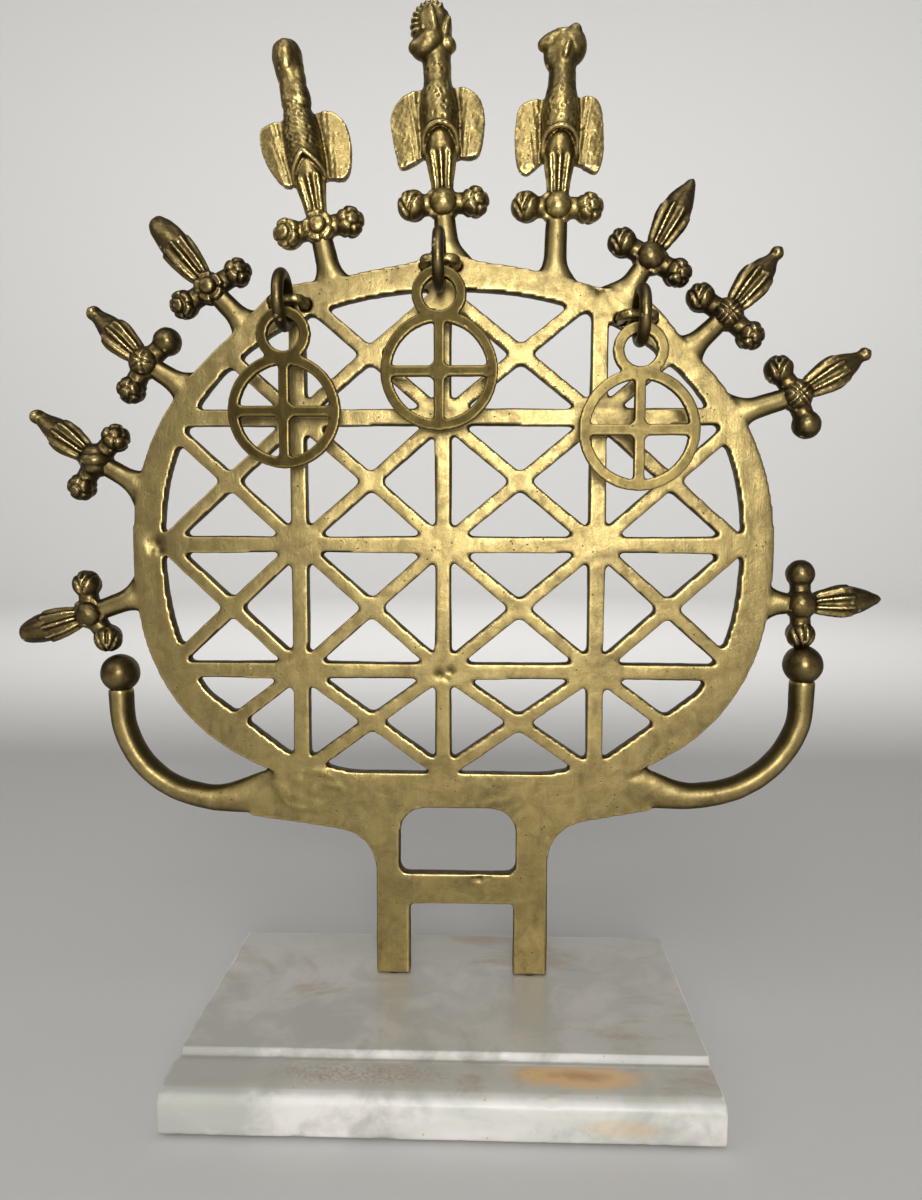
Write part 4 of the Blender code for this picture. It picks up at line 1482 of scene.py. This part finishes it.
# Each bud: name, angle on the rim, ball, lean, length, the blossoms' angles, tip, reliefs.
BUDS = (
    Bud(
        "bud_left_1", 133, (-80.4, 237.5), 130, 30, (30, 210), Tip.ROUND,
        (Relief.ROSETTE, Relief.PETALS, Relief.ROSETTE),
    ),
    Bud(
        "bud_left_2", 149.5, (-103.4, 213.1), 136, 26, (43, 240), Tip.HOOK,
        (Relief.STAR, Relief.SMOOTH, Relief.PETALS),
    ),
    Bud(
        "bud_left_3", 169.3, (-121.6, 180.4), 143, 27, (47, 240), Tip.HOOK,
        (Relief.MELON, Relief.PETALS, Relief.PETALS),
    ),
    Bud(
        "bud_left_4", 189.4, (-125.2, 127.6), 197, 26.5, (96, 304), Tip.ROUND,
        (Relief.COLLAR, Relief.LEAF, Relief.LEAF),
    ),
    Bud(
        "bud_right_1", 55, (65.9, 246.4), 61, 29, (151, 332), Tip.POINT,
        (Relief.COLLAR, Relief.LEAF, Relief.PETALS),
    ),
    Bud(
        "bud_right_2", 39.2, (91.7, 228.1), 51, 28, (148, 318), Tip.KNOB,
        (Relief.CROSS, Relief.LEAF, Relief.PETALS),
    ),
    Bud(
        "bud_right_3", 24.6, (115.3, 201.7), 31, 28.5, (126, 291), Tip.KNOB,
        (Relief.CROSS, Relief.LEAF, Relief.SMOOTH),
    ),
    Bud(
        "bud_right_4", 349.9, (119.0, 131.9), 4, 27.3, (92, 272), Tip.POINT,
        (Relief.SMOOTH, Relief.SMOOTH, Relief.LEAF),
    ),
)
BIRDS = (
    Bird(
        name="bird_left",
        rim_angle=114.3,
        boss=(-43.6, 256.9),
        lean=10.4,
        height=61.0,
        head=Head.DOME,
        wings=(
            (
                (-3, 17), (-7.4, 15.3), (-10.8, 18), (-13.6, 24), (-14.3, 30),
                (-13, 34.8), (-6, 36.3), (-3, 35),
            ),
            (
                (3, 36), (7, 36.6), (11.5, 35.6), (15, 31), (15.3, 24),
                (13.8, 17.3), (11, 14.4), (7, 15.2), (3, 17),
            ),
        ),
        reliefs=(Relief.ROSETTE, Relief.ROSETTE, Relief.PETALS),
    ),
    Bird(
        name="bird_middle",
        rim_angle=90.6,
        boss=(-2.3, 264.3),
        lean=2.7,
        height=62.3,
        head=Head.CREST,
        wings=(
            (
                (-3, 16), (-7, 14.8), (-13.4, 12.4), (-15, 17), (-16, 24),
                (-15.8, 30), (-12, 34.6), (-5.6, 36.9), (-3, 36),
            ),
            (
                (3, 36.6), (8.5, 36.7), (13.4, 33.2), (14.9, 28), (14.3, 21.5),
                (12.2, 15.4), (6.5, 14.6), (3, 16),
            ),
        ),
        reliefs=(Relief.COLLAR, Relief.LEAF, Relief.PETALS),
    ),
    Bird(
        name="bird_right",
        rim_angle=68.8,
        boss=(35.3, 262.8),
        lean=-1.7,
        height=57.3,
        head=Head.BEAK,
        wings=(
            (
                (-3, 17), (-7, 13.2), (-10.6, 10.7), (-13.3, 12.6), (-14.6, 19),
                (-14.6, 27), (-13, 32.4), (-6, 34.4), (-3, 33),
            ),
            (
                (3, 34.6), (9.6, 35.4), (13, 32.4), (14.2, 26), (14.6, 19.4),
                (13.8, 13.8), (12, 11.7), (8, 13.6), (3, 17),
            ),
        ),
        reliefs=(Relief.COLLAR, Relief.LEAF, Relief.PETALS),
    ),
)


@dataclass
class Hanger:
    """A staple in the rim, the loose ring on it, and the wheel pendant on the ring."""

    side: str
    wheel_finish: AgedBrass
    bend: float = 2.2 * MM
    wire_voxel: float = 0.35 * MM
    wheel_voxel: float = 0.45 * MM
    ring_steps: int = 64
    ring_slack: float = 0.98

    def staple(self) -> None:
        """Bend the staple's wire back into the rim at both ends."""
        low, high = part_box(f"staple_{self.side}")
        wire = (high.z - low.z) / 2
        half = (high.x - low.x) / 2 - wire
        middle = Vector(((low.x + high.x) / 2, low.y + wire, (low.z + high.z) / 2))
        centres = [Vector((-half, high.y - middle.y, 0))]
        for k in range(9):
            turn = math.pi / 2 * k / 8
            across, back = self.bend * (1 - math.cos(turn)), self.bend * (1 - math.sin(turn))
            centres.append(Vector((-half + across, back, 0)))
        centres += [Vector((-p.x, p.y, p.z)) for p in reversed(centres)]
        clay = Clay()
        self.tube(clay, [middle + c for c in centres], wire, Vector((0, 0, 1)))
        obj = clay.cast(f"staple_{self.side}_bent", self.wire_voxel, 2)
        push(obj, brazed)
        dress(obj, WORN_AND_LIT, "polished_brass", "standard", f"staple_{self.side}")

    def tube(
        self, clay: Clay, centres: list[Vector], radius: float, normal: Vector, closed: bool = False
    ) -> None:
        """Add a round wire.

        Args:
            clay: Where it goes.
            centres: The middles of its sections, all in one plane.
            radius: Its radius.
            normal: The plane's normal.
            closed: Whether its end joins its start.
        """
        turns = np.linspace(0, 2 * math.pi, 24, endpoint=False)
        rows = []
        count = len(centres)
        for i, centre in enumerate(centres):
            before = centres[i - 1] if i or closed else centre
            after = centres[(i + 1) % count] if i + 1 < count or closed else centre
            side = (after - before).normalized().cross(normal)
            ring = np.outer(np.cos(turns), side) + np.outer(np.sin(turns), normal)
            rows.append(ring * radius + np.array(centre))
        if closed:
            clay.add(np.array(rows), quads(count, len(turns), True))
        else:
            clay.rows(np.array(rows))

    def ring(self) -> None:
        """Bend the loose ring."""
        low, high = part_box(f"ring_{self.side}")
        wire = (high.x - low.x) / 2
        middle = (low + high) / 2
        radius = (high.z - low.z) / 2 - wire
        centres = []
        for k in range(self.ring_steps):
            turn = 2 * math.pi * k / self.ring_steps
            centres.append(middle + Vector((0, math.sin(turn), math.cos(turn))) * radius)
        clay = Clay()
        self.tube(clay, centres, wire * self.ring_slack, Vector((1, 0, 0)), True)
        obj = clay.cast(f"ring_{self.side}_bent", self.wire_voxel, 2)
        push(obj, wavy(5 * MM, 21, 0.04))
        dress(obj, DARKENED, "dark_brass", f"{self.side}_ring", f"ring_{self.side}")

    def pendant(self) -> None:
        """Cast the wheel pendant."""
        clay = Clay()
        clay.node(f"pendant_{self.side}")
        obj = clay.cast(f"pendant_{self.side}_cast", self.wheel_voxel, 4)
        push(obj, wavy(8 * MM, 31, 0.05))
        dress(obj, self.wheel_finish, "polished_brass", f"{self.side}_pendant", f"pendant_{self.side}")

    def build(self) -> None:
        """Make all three."""
        self.staple()
        self.ring()
        self.pendant()


@dataclass
class Base:
    """The onyx slab, its felt and its screws. Depths are in mm."""

    voxel: float = 0.9 * MM
    chip_depth: float = 0.7
    waviness: float = 0.05

    def chips(self, points: np.ndarray, normals: np.ndarray) -> np.ndarray:
        """Small chips where two faces meet, and a gentle waviness from grinding.

        Args:
            points: The stone's points.
            normals: Their normals.

        Returns:
            How far each point moves out.
        """
        edge = smooth_step(1 - np.abs(normals).max(axis=1), 0.04, 0.25)
        bites = np.clip(ripple(points, 5 * MM, 41) * 0.6 + ripple(points, 14 * MM, 42) * 0.6 - 0.35, 0, 1)
        return -edge * bites * self.chip_depth * MM + ripple(points, 40 * MM, 43) * self.waviness * MM

    def build(self) -> None:
        """Cut it, chip it and dress it."""
        clay = Clay()
        clay.node("onyx_base")
        obj = clay.cast("onyx_base_ground", self.voxel, 2)
        push(obj, self.chips)
        dress(obj, STONE, "onyx", "standard", "onyx_base")
        self.keep("base_felt", FELT)
        for name in ("foot_screw_left", "foot_screw_right", "washer_left", "washer_right"):
            self.keep(name, STEEL)

    def keep(self, name: str, finish: Finish) -> None:
        """Dress a CAD node as it is.

        Args:
            name: The node's name.
            finish: Its finish.
        """
        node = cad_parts[name]
        node.data.materials.clear()
        node.data.materials.append(material_of(finish))
        log.info("%s keeps its CAD shape", name)


@dataclass(frozen=True)
class Softbox:
    """A square soft light: where it hangs, what it looks at, its side in metres and its watts."""

    name: str
    at: Place
    aim: Place
    side: float
    power: float

    def build(self) -> None:
        """Hang it."""
        light = bpy.data.lights.new(self.name, "AREA")
        light.shape = "SQUARE"
        light.size = self.side
        light.energy = self.power
        obj = bpy.data.objects.new(self.name, light)
        obj.location = self.at
        obj.rotation_euler = (Vector(self.at) - Vector(self.aim)).to_track_quat("Z", "Y").to_euler()
        bpy.context.scene.collection.objects.link(obj)


@dataclass
class Studio:
    """The floor, the lights and the camera, in metres and radians."""

    eye: Place = (0.01509, -0.2763, 0.1725)
    yaw: float = 0.0306
    pitch: float = 0.0846
    roll: float = 0.0015
    lens: float = 26.01
    sensor: float = 36.0
    nearest: float = 0.01
    floor_r: float = 1.9
    wall_r: float = 0.8
    wall_high: float = 2.4
    floor_sides: int = 96
    lamps: tuple[Softbox, ...] = (
        Softbox("key", (0.07, -0.80, 0.30), (DISC_X, PLATE_FRONT, DISC_Z), 0.30, 2.8),
        Softbox("front", (-0.05, -1.05, 1.12), (0.0, 0.0, 0.2), 0.6, 3.2),
        Softbox("fill", (-0.8, -0.5, 0.9), (DISC_X, PLATE_FRONT, DISC_Z), 0.7, 1.2),
        Softbox("top", (0.1, -0.1, 1.4), (0.0, 0.0, 0.0), 1.0, 2.0),
        Softbox("backdrop", (0.0, 0.45, 1.35), (0.0, 2.7, 1.2), 1.3, 38.0),
    )
    surround: Colour = (0.95, 0.96, 1.0, 1)
    surround_strength: float = 0.13

    def floor(self) -> None:
        """Lay a round pale floor whose far edge curves up into a wall."""
        knots = [(0.001, 0.0), (0.5, 0.0), (self.floor_r, 0.0)]
        for k in range(1, 17):
            turn = math.pi / 2 * k / 16
            knots.append((self.floor_r + self.wall_r * math.sin(turn), self.wall_r * (1 - math.cos(turn))))
        knots.append((self.floor_r + self.wall_r, self.wall_r + self.wall_high))
        sides = self.floor_sides
        points = [
            (r * math.cos(2 * math.pi * k / sides), r * math.sin(2 * math.pi * k / sides), z)
            for r, z in knots
            for k in range(sides)
        ]
        mesh = bpy.data.meshes.new("studio_floor")
        mesh.from_pydata(points, [], [tuple(range(sides))] + quads(len(knots), sides))
        mesh.shade_smooth()
        mesh.materials.append(material_of(PAPER))
        obj = bpy.data.objects.new("studio_floor", mesh)
        bpy.context.scene.collection.objects.link(obj)

    def lights(self) -> None:
        """Set the soft lights, the pale surroundings and plain tones."""
        for lamp in self.lamps:
            lamp.build()
        world = bpy.data.worlds.new("studio")
        bpy.context.scene.world = world
        world.use_nodes = True
        background = world.node_tree.nodes["Background"]
        background.inputs["Color"].default_value = self.surround
        background.inputs["Strength"].default_value = self.surround_strength
        bpy.context.scene.view_settings.view_transform = "Standard"

    def camera(self) -> None:
        """Stand the camera in front, a little above the middle, looking slightly down."""
        cy, sy, cp, sp = math.cos(self.yaw), math.sin(self.yaw), math.cos(self.pitch), math.sin(self.pitch)
        ahead = Vector((-sy * cp, cy * cp, -sp))
        right = Vector((cy, sy, 0))
        up = right.cross(ahead)
        cr, sr = math.cos(self.roll), math.sin(self.roll)
        right, up = cr * right + sr * up, cr * up - sr * right
        data = bpy.data.cameras.new("camera")
        data.lens = self.lens
        data.sensor_width = self.sensor
        data.clip_start = self.nearest
        obj = bpy.data.objects.new("camera", data)
        turn = Matrix((right, up, -ahead)).transposed().to_4x4()
        obj.matrix_world = Matrix.Translation(self.eye) @ turn
        bpy.context.scene.collection.objects.link(obj)
        bpy.context.scene.camera = obj

    def build(self) -> None:
        """Set the studio up."""
        self.camera()
        self.floor()
        self.lights()


def main() -> None:
    logging.basicConfig(level=logging.INFO, format="%(message)s")
    Studio().build()
    Base().build()
    Casting().build()
    for bud in BUDS:
        bud.build()
    for bird in BIRDS:
        bird.build()
    # The pendants take a shaded or a lit copy of the brass, as painted shade and painted light.
    for side, finish in (("left", PENDANT_SHADED), ("middle", PENDANT_SHADED), ("right", PENDANT_LIT)):
        Hanger(side, finish).build()


if __name__ == "__main__":
    main()
